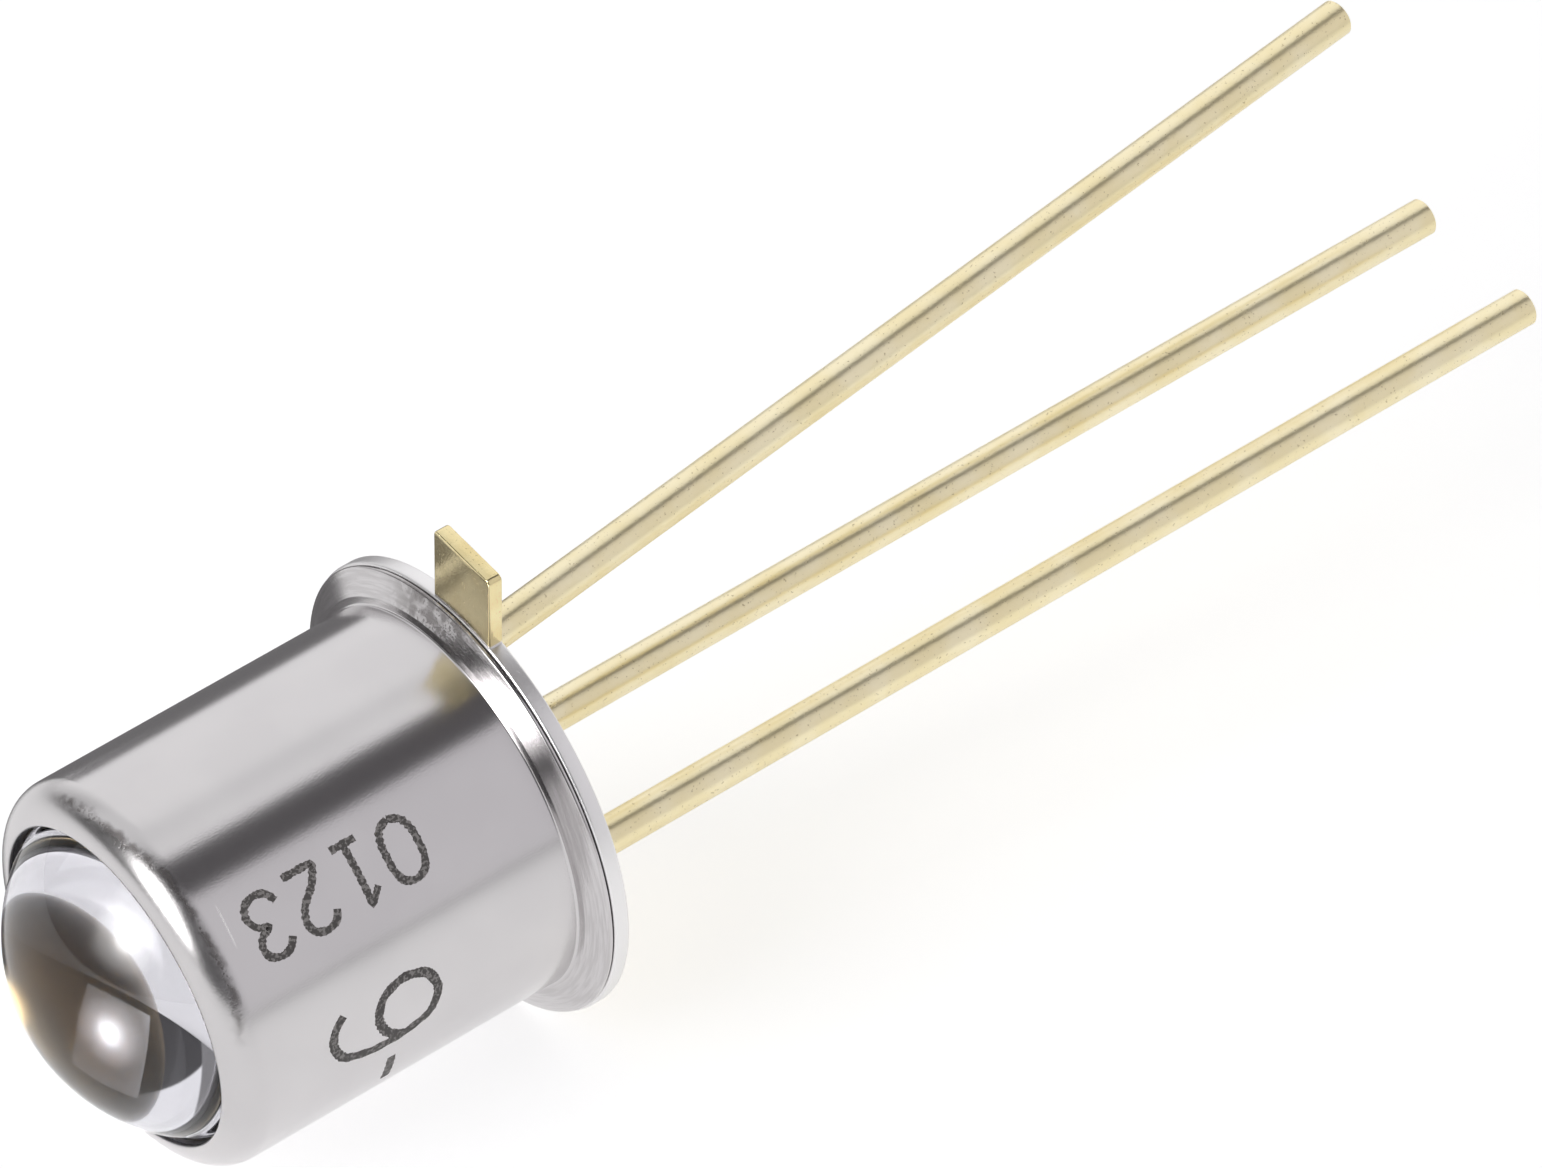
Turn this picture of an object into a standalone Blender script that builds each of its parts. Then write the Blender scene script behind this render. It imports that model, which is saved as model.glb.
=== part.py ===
"""Metal-can phototransistor: a welded steel can with a domed glass window and three wire leads.

Every piece is modelled upright, with the underside of the header at height zero, the window
upwards and the tab at +X. Angles are counted round the can's axis from the tab. The whole part
is then laid on its side, as it would come to rest on a table: nose slightly down, on the rim
of the header and the shoulder of the can. All sizes are in metres.
"""
import math

import bmesh
import bpy
from mathutils import Matrix, Vector

# Fits
SEAT_GAP = 0.00001
TURNED_SIDES = 64
SEAL_SIDES = 24

# Can: one drawn cup with a window in its front and a weld flange at its open base
CAN_RADIUS = 0.00235
CAN_HEIGHT = 0.00493
CAN_WALL = 0.00018
SHOULDER_ROUND = 0.00042
WINDOW_RADIUS = 0.00195
LIP_ROUND = 0.00003
FLANGE_RADIUS = 0.002755
FLANGE_EDGE_HEIGHT = 0.000022
FLANGE_ROUND = 0.00003
FLANGE_SLOPE = 21.5
FLANGE_CHAMFER = 0.00001
LEDGE_WIDTH = 0.0001
LEDGE_FALL = 0.000018
NECK_FILLET = 0.000035

# Header: the disc that carries everything inside, with the tab that marks the first lead
HEADER_RADIUS = 0.00278
HEADER_FLANGE = 0.0002
HEADER_CHAMFER = 0.00002
PEDESTAL_CLEARANCE = 0.00007
PEDESTAL_TOP = 0.00105
PEDESTAL_ROUND = 0.0001
UNDERSIDE_RADIUS = 0.00212
UNDERSIDE_DEPTH = 0.00003
TAB_REACH = 0.0038
TAB_WIDTH = 0.001
TAB_THICKNESS = 0.00018
TAB_ROUND = 0.00008
TAB_EDGE = 0.000015

# Window: a glass drop fused into the can, domed outside and inside, that creeps up the wall
LENS_RADIUS = 0.00226
LENS_CENTRE = 0.003644
LENS_COLLAR = 0.00006
DROP_HEIGHT = 0.00375
DROP_RADIUS = 0.00225
DROP_EDGE = 40.0
WETTING_RADIUS = 0.0009

# Leads, on a circle round the axis
LEAD_RADIUS = 0.000225
LEAD_CIRCLE = 0.00127
LEAD_LENGTH = 0.0144
EMITTER_ANGLE = 45.0
BASE_ANGLE = 135.0
COLLECTOR_ANGLE = 225.0
POST_HEIGHT = 0.00035
SPLAY_ANGLE = 6.6
SPLAY_TOWARDS = 81.5
BEND_START = 0.0001
BEND_RADIUS = 0.003
LEAD_BEVEL_STEPS = 6

# Glass seals and the braze of the grounded lead
SEAL_RADIUS = 0.0005
SEAL_DISH = 0.00006
BRAZE_RADIUS = 0.00042
BRAZE_HEIGHT = 0.00022
BRAZE_REACH = 0.92

# Chip, its solder and its bond wires
CHIP_SIDE = 0.0008
CHIP_THICKNESS = 0.00022
SOLDER_SIDE = 0.00092
SOLDER_THICKNESS = 0.00003
SOLDER_ROUND = 0.0001
PAD_INSET = 0.0001
WIRE_RADIUS = 0.0000165
WIRE_LOOP = 0.00042
WIRE_RISE = 1.4
WIRE_FALL = 0.9
WIRE_BALL = 2.2
WIRE_POINTS = 13
WIRE_STEPS = 2

# Steps in which curved outlines are turned
FINE_STEPS = 10
ROUND_STEPS = 7
BEND_STEPS = 5
SMALL_STEPS = 4
EDGE_STEPS = 3

# The part lies rolled so that a flat of its rim, one and a half sides from the tab's, is lowest
REST_ROLL = 1.5 * 360.0 / TURNED_SIDES

CAP_BASE = HEADER_FLANGE + SEAT_GAP
FLANGE_TOP = CAP_BASE + CAN_WALL
SHOULDER_CORE = CAN_RADIUS - SHOULDER_ROUND
SHOULDER_LEVEL = CAN_HEIGHT - SHOULDER_ROUND
INNER_RADIUS = CAN_RADIUS - CAN_WALL
PEDESTAL_RADIUS = INNER_RADIUS - PEDESTAL_CLEARANCE
CHIP_TOP = PEDESTAL_TOP + SOLDER_THICKNESS + CHIP_THICKNESS + 2.0 * SEAT_GAP
POST_TOP = PEDESTAL_TOP + POST_HEIGHT


def clear_scene():
    """Remove the objects that a new file starts with."""
    for obj in list(bpy.data.objects):
        bpy.data.objects.remove(obj, do_unlink=True)


def new_collection(name):
    """Make a collection under the scene's own."""
    collection = bpy.data.collections.new(name)
    bpy.context.scene.collection.children.link(collection)
    return collection


def finish(name, colour, roughness, metallic, transmission=0.0):
    """Make a plain Principled material."""
    material = bpy.data.materials.new(name)
    material.use_nodes = True
    shader = material.node_tree.nodes["Principled BSDF"]
    shader.inputs["Base Color"].default_value = (*colour, 1.0)
    shader.inputs["Roughness"].default_value = roughness
    shader.inputs["Metallic"].default_value = metallic
    shader.inputs["Transmission Weight"].default_value = transmission
    return material


def arc(centre, radius, start, end, steps):
    """Points on an arc in a radius and height plane, angles in degrees from +radius."""
    points = []
    for i in range(steps + 1):
        angle = math.radians(start + (end - start) * i / steps)
        points.append((centre[0] + radius * math.cos(angle), centre[1] + radius * math.sin(angle)))
    return points


def around(radius, angle, height):
    """A point at an angle in degrees round the can's axis."""
    turn = math.radians(angle)
    return Vector((radius * math.cos(turn), radius * math.sin(turn), height))


def clear_radius(radius, sides):
    """Radius of a many-sided hole whose flats clear a round piece by the seat gap."""
    return (radius + SEAT_GAP) / math.cos(math.pi / sides)


def add_object(name, data, group, material=None):
    """Link data to a collection as one object."""
    obj = bpy.data.objects.new(name, data)
    group.objects.link(obj)
    if material is not None:
        data.materials.append(material)
    return obj


def turned(name, outline, group, material=None, sides=TURNED_SIDES, ring=False):
    """Turn an outline of radius and height, which runs down its outer side, about the axis."""
    mesh = bpy.data.meshes.new(name)
    verts = [(radius, 0.0, height) for radius, height in outline]
    edges = [(i, i + 1) for i in range(len(verts) - 1)]
    if ring:
        edges.append((len(verts) - 1, 0))
    mesh.from_pydata(verts, edges, [])
    obj = add_object(name, mesh, group, material)
    screw = obj.modifiers.new("turn", "SCREW")
    screw.axis = "Z"
    screw.angle = math.tau
    screw.steps = sides
    screw.render_steps = sides
    screw.use_merge_vertices = True
    screw.merge_threshold = 1e-7
    screw.use_smooth_shade = True
    return obj


def on_lead(obj, angle):
    """Move a turned piece onto a lead, its sides turned so that none lines up with the header's."""
    obj.location = around(LEAD_CIRCLE, angle, 0.0)
    obj.rotation_euler.z = math.radians(0.25 * 360.0 / SEAL_SIDES)
    return obj


def block(name, size, centre, corner, edge, group, material=None):
    """A flat block with rounded upright corners and softened edges."""
    mesh = bpy.data.meshes.new(name)
    form = bmesh.new()
    bmesh.ops.create_cube(form, size=1.0)
    bmesh.ops.scale(form, vec=size, verts=form.verts)
    upright = [e for e in form.edges if abs(e.verts[0].co.z - e.verts[1].co.z) > 0.5 * size[2]]
    if corner > 0.0:
        bevel = {"profile": 0.5, "affect": "EDGES"}
        bmesh.ops.bevel(form, geom=upright, offset=corner, segments=SMALL_STEPS, **bevel)
    if edge > 0.0:
        level = [e for e in form.edges if abs(e.verts[0].co.z - e.verts[1].co.z) < 0.1 * size[2]]
        bmesh.ops.bevel(form, geom=level, offset=edge, segments=1, profile=0.5, affect="EDGES")
    bmesh.ops.translate(form, vec=centre, verts=form.verts)
    form.to_mesh(mesh)
    form.free()
    return add_object(name, mesh, group, material)


def tube(name, points, radius, group, material, steps, swell=None):
    """A round wire along points, with flat ends; swell widens its first point."""
    curve = bpy.data.curves.new(name, "CURVE")
    curve.dimensions = "3D"
    curve.bevel_depth = radius
    curve.bevel_resolution = steps
    curve.use_fill_caps = True
    spline = curve.splines.new("POLY")
    spline.points.add(len(points) - 1)
    for point, place in zip(spline.points, points):
        point.co = (*place, 1.0)
    if swell is not None:
        spline.points[0].radius = swell
        spline.points[1].radius = swell
    return add_object(name, curve, group, material)


def cut_with(obj, cutter, operation):
    """Join or cut an object with a hidden one."""
    boolean = obj.modifiers.new(cutter.name, "BOOLEAN")
    boolean.operation = operation
    boolean.object = cutter
    cutter.hide_render = True
    cutter.display_type = "WIRE"


def shoulder_arc(inset, start_radius, steps):
    """The can's front shoulder, or a surface at an inset under it, from a radius outwards."""
    radius = SHOULDER_ROUND - inset
    reach = max(0.0, min(1.0, (start_radius - SHOULDER_CORE) / radius))
    start = math.degrees(math.acos(reach))
    return arc((SHOULDER_CORE, SHOULDER_LEVEL), radius, start, 0.0, steps)


def can_outline():
    """Section of the can: lip, shoulder, wall and flange outside, then back up inside."""
    lip_outer = WINDOW_RADIUS + LIP_ROUND
    shoulder = shoulder_arc(0.0, lip_outer, ROUND_STEPS)
    lip_core = (lip_outer, shoulder[0][1] - LIP_ROUND)
    lip = arc(lip_core, LIP_ROUND, 180.0, 90.0, EDGE_STEPS)[:-1]
    neck_core = (CAN_RADIUS + NECK_FILLET, FLANGE_TOP + NECK_FILLET)
    neck = arc(neck_core, NECK_FILLET, 180.0, 270.0, EDGE_STEPS)
    ledge = [(CAN_RADIUS + LEDGE_WIDTH, FLANGE_TOP - LEDGE_FALL)]
    rim_core = (FLANGE_RADIUS - FLANGE_ROUND, CAP_BASE + FLANGE_EDGE_HEIGHT)
    rim = arc(rim_core, FLANGE_ROUND, 90.0 - FLANGE_SLOPE, 0.0, EDGE_STEPS)
    base = [(FLANGE_RADIUS - FLANGE_CHAMFER, CAP_BASE), (INNER_RADIUS, CAP_BASE)]
    inside = shoulder_arc(CAN_WALL, max(WINDOW_RADIUS, SHOULDER_CORE), SMALL_STEPS)[::-1]
    window = [(WINDOW_RADIUS, CAN_HEIGHT - CAN_WALL)]
    if abs(inside[-1][0] - WINDOW_RADIUS) < LIP_ROUND:
        inside = inside[:-1]
    return lip + shoulder + neck + ledge + rim + base + inside + window


def drop_outline(wall):
    """Section of the glass drop inside the can, from the wall that it wets to its lowest point."""
    steep = math.radians(DROP_EDGE)
    edge = DROP_RADIUS * math.sin(steep)
    level = DROP_HEIGHT + DROP_RADIUS * (1.0 - math.cos(steep))
    flat = math.asin(math.sin(steep) - (wall - edge) / WETTING_RADIUS)
    wetting = []
    for i in range(BEND_STEPS):
        slope = flat + (steep - flat) * i / BEND_STEPS
        radius = edge + WETTING_RADIUS * (math.sin(steep) - math.sin(slope))
        wetting.append((radius, level + WETTING_RADIUS * (math.cos(slope) - math.cos(steep))))
    centre = (0.0, DROP_HEIGHT + DROP_RADIUS)
    return wetting + arc(centre, DROP_RADIUS, DROP_EDGE - 90.0, -90.0, ROUND_STEPS)[:-1]


def lens_outline():
    """Section of the glass: dome, collar in the window, skirt on the can's wall, and the drop."""
    collar = WINDOW_RADIUS - SEAT_GAP
    rim_angle = math.degrees(math.acos((collar - LENS_COLLAR) / LENS_RADIUS))
    dome = arc((0.0, LENS_CENTRE), LENS_RADIUS, 90.0, rim_angle, FINE_STEPS)
    meniscus = [(collar, dome[-1][1] - LENS_COLLAR), (collar, CAN_HEIGHT - CAN_WALL - SEAT_GAP)]
    skirt = shoulder_arc(CAN_WALL + SEAT_GAP, collar + LENS_COLLAR, SMALL_STEPS)
    drop = drop_outline(INNER_RADIUS - SEAT_GAP)
    return dome + meniscus + skirt + drop + [(0.0, DROP_HEIGHT)]


def header_outline():
    """Section of the header: raised pedestal, flange and shallow hollow underside."""
    corner = (PEDESTAL_RADIUS - PEDESTAL_ROUND, PEDESTAL_TOP - PEDESTAL_ROUND)
    pedestal = [(0.0, PEDESTAL_TOP)] + arc(corner, PEDESTAL_ROUND, 90.0, 0.0, EDGE_STEPS)
    flange = [
        (PEDESTAL_RADIUS, HEADER_FLANGE),
        (HEADER_RADIUS - HEADER_CHAMFER, HEADER_FLANGE),
        (HEADER_RADIUS, HEADER_FLANGE - HEADER_CHAMFER),
        (HEADER_RADIUS, HEADER_CHAMFER),
        (HEADER_RADIUS - HEADER_CHAMFER, 0.0),
        (UNDERSIDE_RADIUS, 0.0),
        (UNDERSIDE_RADIUS - UNDERSIDE_DEPTH, UNDERSIDE_DEPTH),
        (0.0, UNDERSIDE_DEPTH),
    ]
    return pedestal + flange


def seal_outline():
    """Section of a glass bead round a lead, dished where the glass wets the metal."""
    outer = SEAL_RADIUS - SEAT_GAP
    inner = clear_radius(LEAD_RADIUS, SEAL_SIDES)
    middle = 0.5 * (outer + inner)
    top = PEDESTAL_TOP
    bottom = UNDERSIDE_DEPTH
    return [
        (inner, top),
        (middle, top - SEAL_DISH),
        (outer, top),
        (outer, bottom),
        (middle, bottom + SEAL_DISH),
        (inner, bottom),
    ]


def braze_outline():
    """Section of the braze that runs up the grounded lead in a hollow curve."""
    inner = clear_radius(LEAD_RADIUS, SEAL_SIDES)
    top = UNDERSIDE_DEPTH - SEAT_GAP
    width = BRAZE_RADIUS - inner
    curve = []
    for i in range(SMALL_STEPS + 1):
        angle = math.radians(90.0 * i / SMALL_STEPS)
        radius = BRAZE_RADIUS - BRAZE_REACH * width * math.sin(angle)
        curve.append((radius, top - BRAZE_HEIGHT * (1.0 - math.cos(angle))))
    return [(inner, top)] + curve + [(inner, top - BRAZE_HEIGHT)]


def lead_path(angle, top, splay=0.0, towards=0.0):
    """Centre line of a lead, from its top down to its tip, with a bend near the header."""
    start = around(LEAD_CIRCLE, angle, top)
    if splay == 0.0:
        return [start, around(LEAD_CIRCLE, angle, -LEAD_LENGTH)]
    side = around(1.0, towards, 0.0)
    down = Vector((0.0, 0.0, -1.0))
    place = around(LEAD_CIRCLE, angle, -BEND_START)
    points = [start, place.copy()]
    piece = math.radians(splay) * BEND_RADIUS / BEND_STEPS
    for i in range(BEND_STEPS):
        lean = math.radians(splay) * (i + 0.5) / BEND_STEPS
        place = place + (down * math.cos(lean) + side * math.sin(lean)) * piece
        points.append(place.copy())
    rest = LEAD_LENGTH - BEND_START - piece * BEND_STEPS
    lean = math.radians(splay)
    points.append(place + (down * math.cos(lean) + side * math.sin(lean)) * rest)
    return points


def wire_path(start, end):
    """A bond wire that rises from the chip, arches over and comes down on a post."""
    rise = Vector((0.0, 0.0, WIRE_LOOP))
    handles = (start, start + WIRE_RISE * rise, end + WIRE_FALL * rise, end)
    points = []
    for i in range(WIRE_POINTS):
        t = i / (WIRE_POINTS - 1)
        weights = ((1 - t) ** 3, 3 * t * (1 - t) ** 2, 3 * t * t * (1 - t), t**3)
        points.append(sum((w * h for w, h in zip(weights, handles)), Vector()))
    return points


def build_can(parts):
    """The drawn can with its window and weld flange."""
    nickel = finish("nickel_plate", (0.62, 0.60, 0.60), 0.25, 1.0)
    return turned("can_shell", can_outline(), parts, nickel, ring=True)


def build_lens(parts):
    """The glass drop in the window."""
    glass = finish("window_glass", (0.96, 0.97, 0.98), 0.02, 0.0, transmission=1.0)
    return turned("glass_lens", lens_outline(), parts, glass)


def build_header(parts, cutters):
    """The gold-plated header with its tab, bored for the two insulated leads."""
    gold = finish("header_gold_plate", (0.80, 0.66, 0.34), 0.25, 1.0)
    header = turned("header", header_outline(), parts, gold)
    overlap = 0.5 * (HEADER_RADIUS - UNDERSIDE_RADIUS)
    length = TAB_REACH - HEADER_RADIUS + overlap
    size = (length, TAB_WIDTH, TAB_THICKNESS)
    centre = (TAB_REACH - 0.5 * length, 0.0, 0.5 * HEADER_FLANGE)
    tab = block("tab_form", size, centre, TAB_ROUND, TAB_EDGE, cutters)
    cut_with(header, tab, "UNION")
    for name, angle in (("emitter_bore", EMITTER_ANGLE), ("base_bore", BASE_ANGLE)):
        top, bottom = 2.0 * PEDESTAL_TOP, -PEDESTAL_TOP
        bore = [(0.0, top), (SEAL_RADIUS, top), (SEAL_RADIUS, bottom), (0.0, bottom)]
        cutter = on_lead(turned(name, bore, cutters, sides=SEAL_SIDES), angle)
        cut_with(header, cutter, "DIFFERENCE")
    return [header, tab] + [o for o in cutters.objects if o.name.endswith("_bore")]


def build_seals(parts):
    """The glass beads that insulate two leads, and the braze of the third."""
    bead = finish("seal_glass", (0.16, 0.20, 0.19), 0.1, 0.0)
    braze = finish("braze_gold", (0.74, 0.60, 0.30), 0.35, 1.0)
    made = []
    for name, angle in (("emitter_seal", EMITTER_ANGLE), ("base_seal", BASE_ANGLE)):
        made.append(on_lead(turned(name, seal_outline(), parts, bead, SEAL_SIDES, True), angle))
    collar = turned("collector_braze", braze_outline(), parts, braze, SEAL_SIDES, True)
    made.append(on_lead(collar, COLLECTOR_ANGLE))
    return made


def build_leads(parts):
    """Three gold-plated wires; the one beside the tab is bent outwards."""
    gold = finish("lead_gold_plate", (0.82, 0.70, 0.40), 0.3, 1.0)
    emitter = lead_path(EMITTER_ANGLE, POST_TOP, SPLAY_ANGLE, SPLAY_TOWARDS)
    base = lead_path(BASE_ANGLE, POST_TOP)
    collector = lead_path(COLLECTOR_ANGLE, UNDERSIDE_DEPTH - SEAT_GAP)
    made = []
    paths = {"emitter_lead": emitter, "base_lead": base, "collector_lead": collector}
    for name, path in paths.items():
        made.append(tube(name, path, LEAD_RADIUS, parts, gold, LEAD_BEVEL_STEPS))
    return made


def build_chip(parts):
    """The light-sensitive chip on its solder, with a bond wire to each insulated lead."""
    silicon = finish("silicon", (0.10, 0.11, 0.15), 0.15, 0.4)
    solder = finish("die_solder", (0.70, 0.58, 0.32), 0.4, 1.0)
    wire_gold = finish("wire_gold", (0.88, 0.70, 0.30), 0.2, 1.0)
    solder_middle = PEDESTAL_TOP + SEAT_GAP + 0.5 * SOLDER_THICKNESS
    size = (SOLDER_SIDE, SOLDER_SIDE, SOLDER_THICKNESS)
    attach = block("die_solder", size, (0.0, 0.0, solder_middle), SOLDER_ROUND, 0.0, parts, solder)
    size = (CHIP_SIDE, CHIP_SIDE, CHIP_THICKNESS)
    centre = (0.0, 0.0, CHIP_TOP - 0.5 * CHIP_THICKNESS)
    chip = block("sensor_chip", size, centre, 0.0, 0.0, parts, silicon)
    made = [attach, chip]
    pad = (0.5 * CHIP_SIDE - PAD_INSET) * math.sqrt(2.0)
    for name, angle in (("emitter_bond_wire", EMITTER_ANGLE), ("base_bond_wire", BASE_ANGLE)):
        start = around(pad, angle, CHIP_TOP + SEAT_GAP)
        end = around(LEAD_CIRCLE, angle, POST_TOP + SEAT_GAP)
        path = wire_path(start, end)
        made.append(tube(name, path, WIRE_RADIUS, parts, wire_gold, WIRE_STEPS, WIRE_BALL))
    return made


def rest_tilt():
    """Angle by which the nose drops when the header's rim and the can's shoulder both touch."""
    run = HEADER_RADIUS - SHOULDER_CORE
    rise = SHOULDER_LEVEL - (HEADER_FLANGE - HEADER_CHAMFER)
    return math.acos(SHOULDER_ROUND / math.hypot(run, rise)) - math.atan2(rise, run)


def lay_down(pieces):
    """Parent the pieces to an empty that lays the part on its side, centred over the origin."""
    tilt = rest_tilt()
    flat = math.cos(math.pi / TURNED_SIDES)
    rim_level = HEADER_FLANGE - HEADER_CHAMFER
    lift = HEADER_RADIUS * flat * math.cos(tilt) + rim_level * math.sin(tilt)
    apex = LENS_CENTRE + LENS_RADIUS
    lean = math.radians(COLLECTOR_ANGLE - 180.0 - REST_ROLL)
    lowest_lead = LEAD_CIRCLE * math.cos(lean) + LEAD_RADIUS
    back = LEAD_LENGTH * math.cos(tilt) + lowest_lead * math.sin(tilt)
    front = apex * math.cos(tilt)
    pose = bpy.data.objects.new("rest_pose", None)
    bpy.context.scene.collection.objects.link(pose)
    pose.rotation_mode = "ZYX"
    pose.rotation_euler = (0.0, -(0.5 * math.pi + tilt), -math.radians(REST_ROLL))
    pose.location = (0.5 * (front - back), 0.0, lift)
    for piece in pieces:
        piece.parent = pose
        piece.matrix_parent_inverse = Matrix.Identity(4)


def main():
    """Build every piece and lay the part at rest."""
    clear_scene()
    parts = new_collection("metal_can_phototransistor")
    cutters = new_collection("cutters")
    pieces = [build_can(parts), build_lens(parts)]
    pieces += build_header(parts, cutters)
    pieces += build_seals(parts)
    pieces += build_leads(parts)
    pieces += build_chip(parts)
    lay_down(pieces)


main()
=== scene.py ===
"""Looks of a metal-can phototransistor that lies on a pale studio floor.

Every piece is built upright in the part's own frame, in metres: the underside of the header is
at height zero, the window looks up and the tab points along +X. One rest pose then lays the
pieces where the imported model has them. The camera, the lamps, the floor and the dark flags that
a polished can needs in a white tent come last.
"""

import logging
import math
from dataclasses import dataclass
from enum import Enum

import bmesh
import bpy
from mathutils import Euler, Matrix, Vector


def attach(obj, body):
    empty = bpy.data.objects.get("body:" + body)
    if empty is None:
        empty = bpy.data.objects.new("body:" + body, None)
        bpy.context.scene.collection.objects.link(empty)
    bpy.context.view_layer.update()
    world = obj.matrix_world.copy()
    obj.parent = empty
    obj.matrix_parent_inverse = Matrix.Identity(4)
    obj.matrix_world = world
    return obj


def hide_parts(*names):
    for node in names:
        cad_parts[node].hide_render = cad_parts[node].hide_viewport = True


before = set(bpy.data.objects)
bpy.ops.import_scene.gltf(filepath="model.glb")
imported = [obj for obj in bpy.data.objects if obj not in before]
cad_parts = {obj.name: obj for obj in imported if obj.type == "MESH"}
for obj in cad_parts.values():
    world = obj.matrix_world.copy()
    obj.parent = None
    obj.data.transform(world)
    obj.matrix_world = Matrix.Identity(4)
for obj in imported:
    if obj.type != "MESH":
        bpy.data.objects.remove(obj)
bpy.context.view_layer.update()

LOG = logging.getLogger("phototransistor")
Colour = tuple[float, float, float]
Point = tuple[float, float, float]
Span = tuple[float, float]
Pair = tuple[float, float]
Outline = list[Pair]

BODY = "root"
MM = 0.001
BLACK: Colour = (0.0, 0.0, 0.0)
WHITE: Colour = (1.0, 1.0, 1.0)
FULL_TURN = 2.0 * math.pi
SHARP_ANGLE = math.radians(35.0)
AXIS_EPSILON = 1e-9
# How far glass and braze reach into the metal that they wet, in metres.
FUSED = 0.000004
# Straight pieces in a small round, and rows of faces in a block's corners and edges.
ROUND_STEPS = 6
CORNER_ROWS = 8
EDGE_ROWS = 4
# The soft edge of the specks, where the clouds start and are full, and patches per metre.
SPECK_EDGE = 0.08
CLOUD_STEP: Span = (0.35, 0.65)
PATCH_SCALE = 6000.0
# Streaks across a mm, streaks in a radian, and where they start and are full.
STREAKS_ACROSS = 32.0
STREAKS_ROUND = 5.0
STREAK_STEP: Span = (0.36, 0.62)


class Slot(Enum):
    """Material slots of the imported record."""

    NICKEL = "nickel_plate"
    WINDOW = "window_glass"
    GOLD = "gold_plate"
    LEAD = "lead_gold"
    SEAL = "seal_glass"
    SILICON = "silicon"


# -------- Node wiring --------


class Value:
    """What a node puts out, and the arithmetic that further nodes do on it."""

    def __init__(self, graph: "Graph", socket: bpy.types.NodeSocket) -> None:
        """Take the output socket and the graph that it is in."""
        self.graph = graph
        self.socket = socket

    def __add__(self, other: "Value | float") -> "Value":
        """The sum."""
        return self.graph.math("ADD", self, other)

    def __sub__(self, other: "Value | float") -> "Value":
        """The difference."""
        return self.graph.math("SUBTRACT", self, other)

    def __rsub__(self, other: float) -> "Value":
        """A plain number less this value."""
        return self.graph.math("SUBTRACT", other, self)

    def __mul__(self, other: "Value | float") -> "Value":
        """The product."""
        return self.graph.math("MULTIPLY", self, other)

    def __truediv__(self, other: float) -> "Value":
        """The quotient."""
        return self.graph.math("DIVIDE", self, other)

    def __or__(self, other: "Value | float") -> "Value":
        """The larger of the two, which joins two masks."""
        return self.graph.math("MAXIMUM", self, other)

    def __abs__(self) -> "Value":
        """The value without its sign."""
        return self.graph.math("ABSOLUTE", self)

    def step(self, low: float, high: float) -> "Value":
        """A smooth step from 0 at low to 1 at high, which may be below low."""
        span = {"Value": self, "From Min": low, "From Max": high}
        return self.graph.outputs("MapRange", span, interpolation_type="SMOOTHSTEP")["Result"]

    def spread(self, low: float, high: float) -> "Value":
        """This value, which is from 0 to 1, spread linearly from low to high."""
        span = {"Value": self, "To Min": low, "To Max": high}
        return self.graph.outputs("MapRange", span)["Result"]


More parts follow.
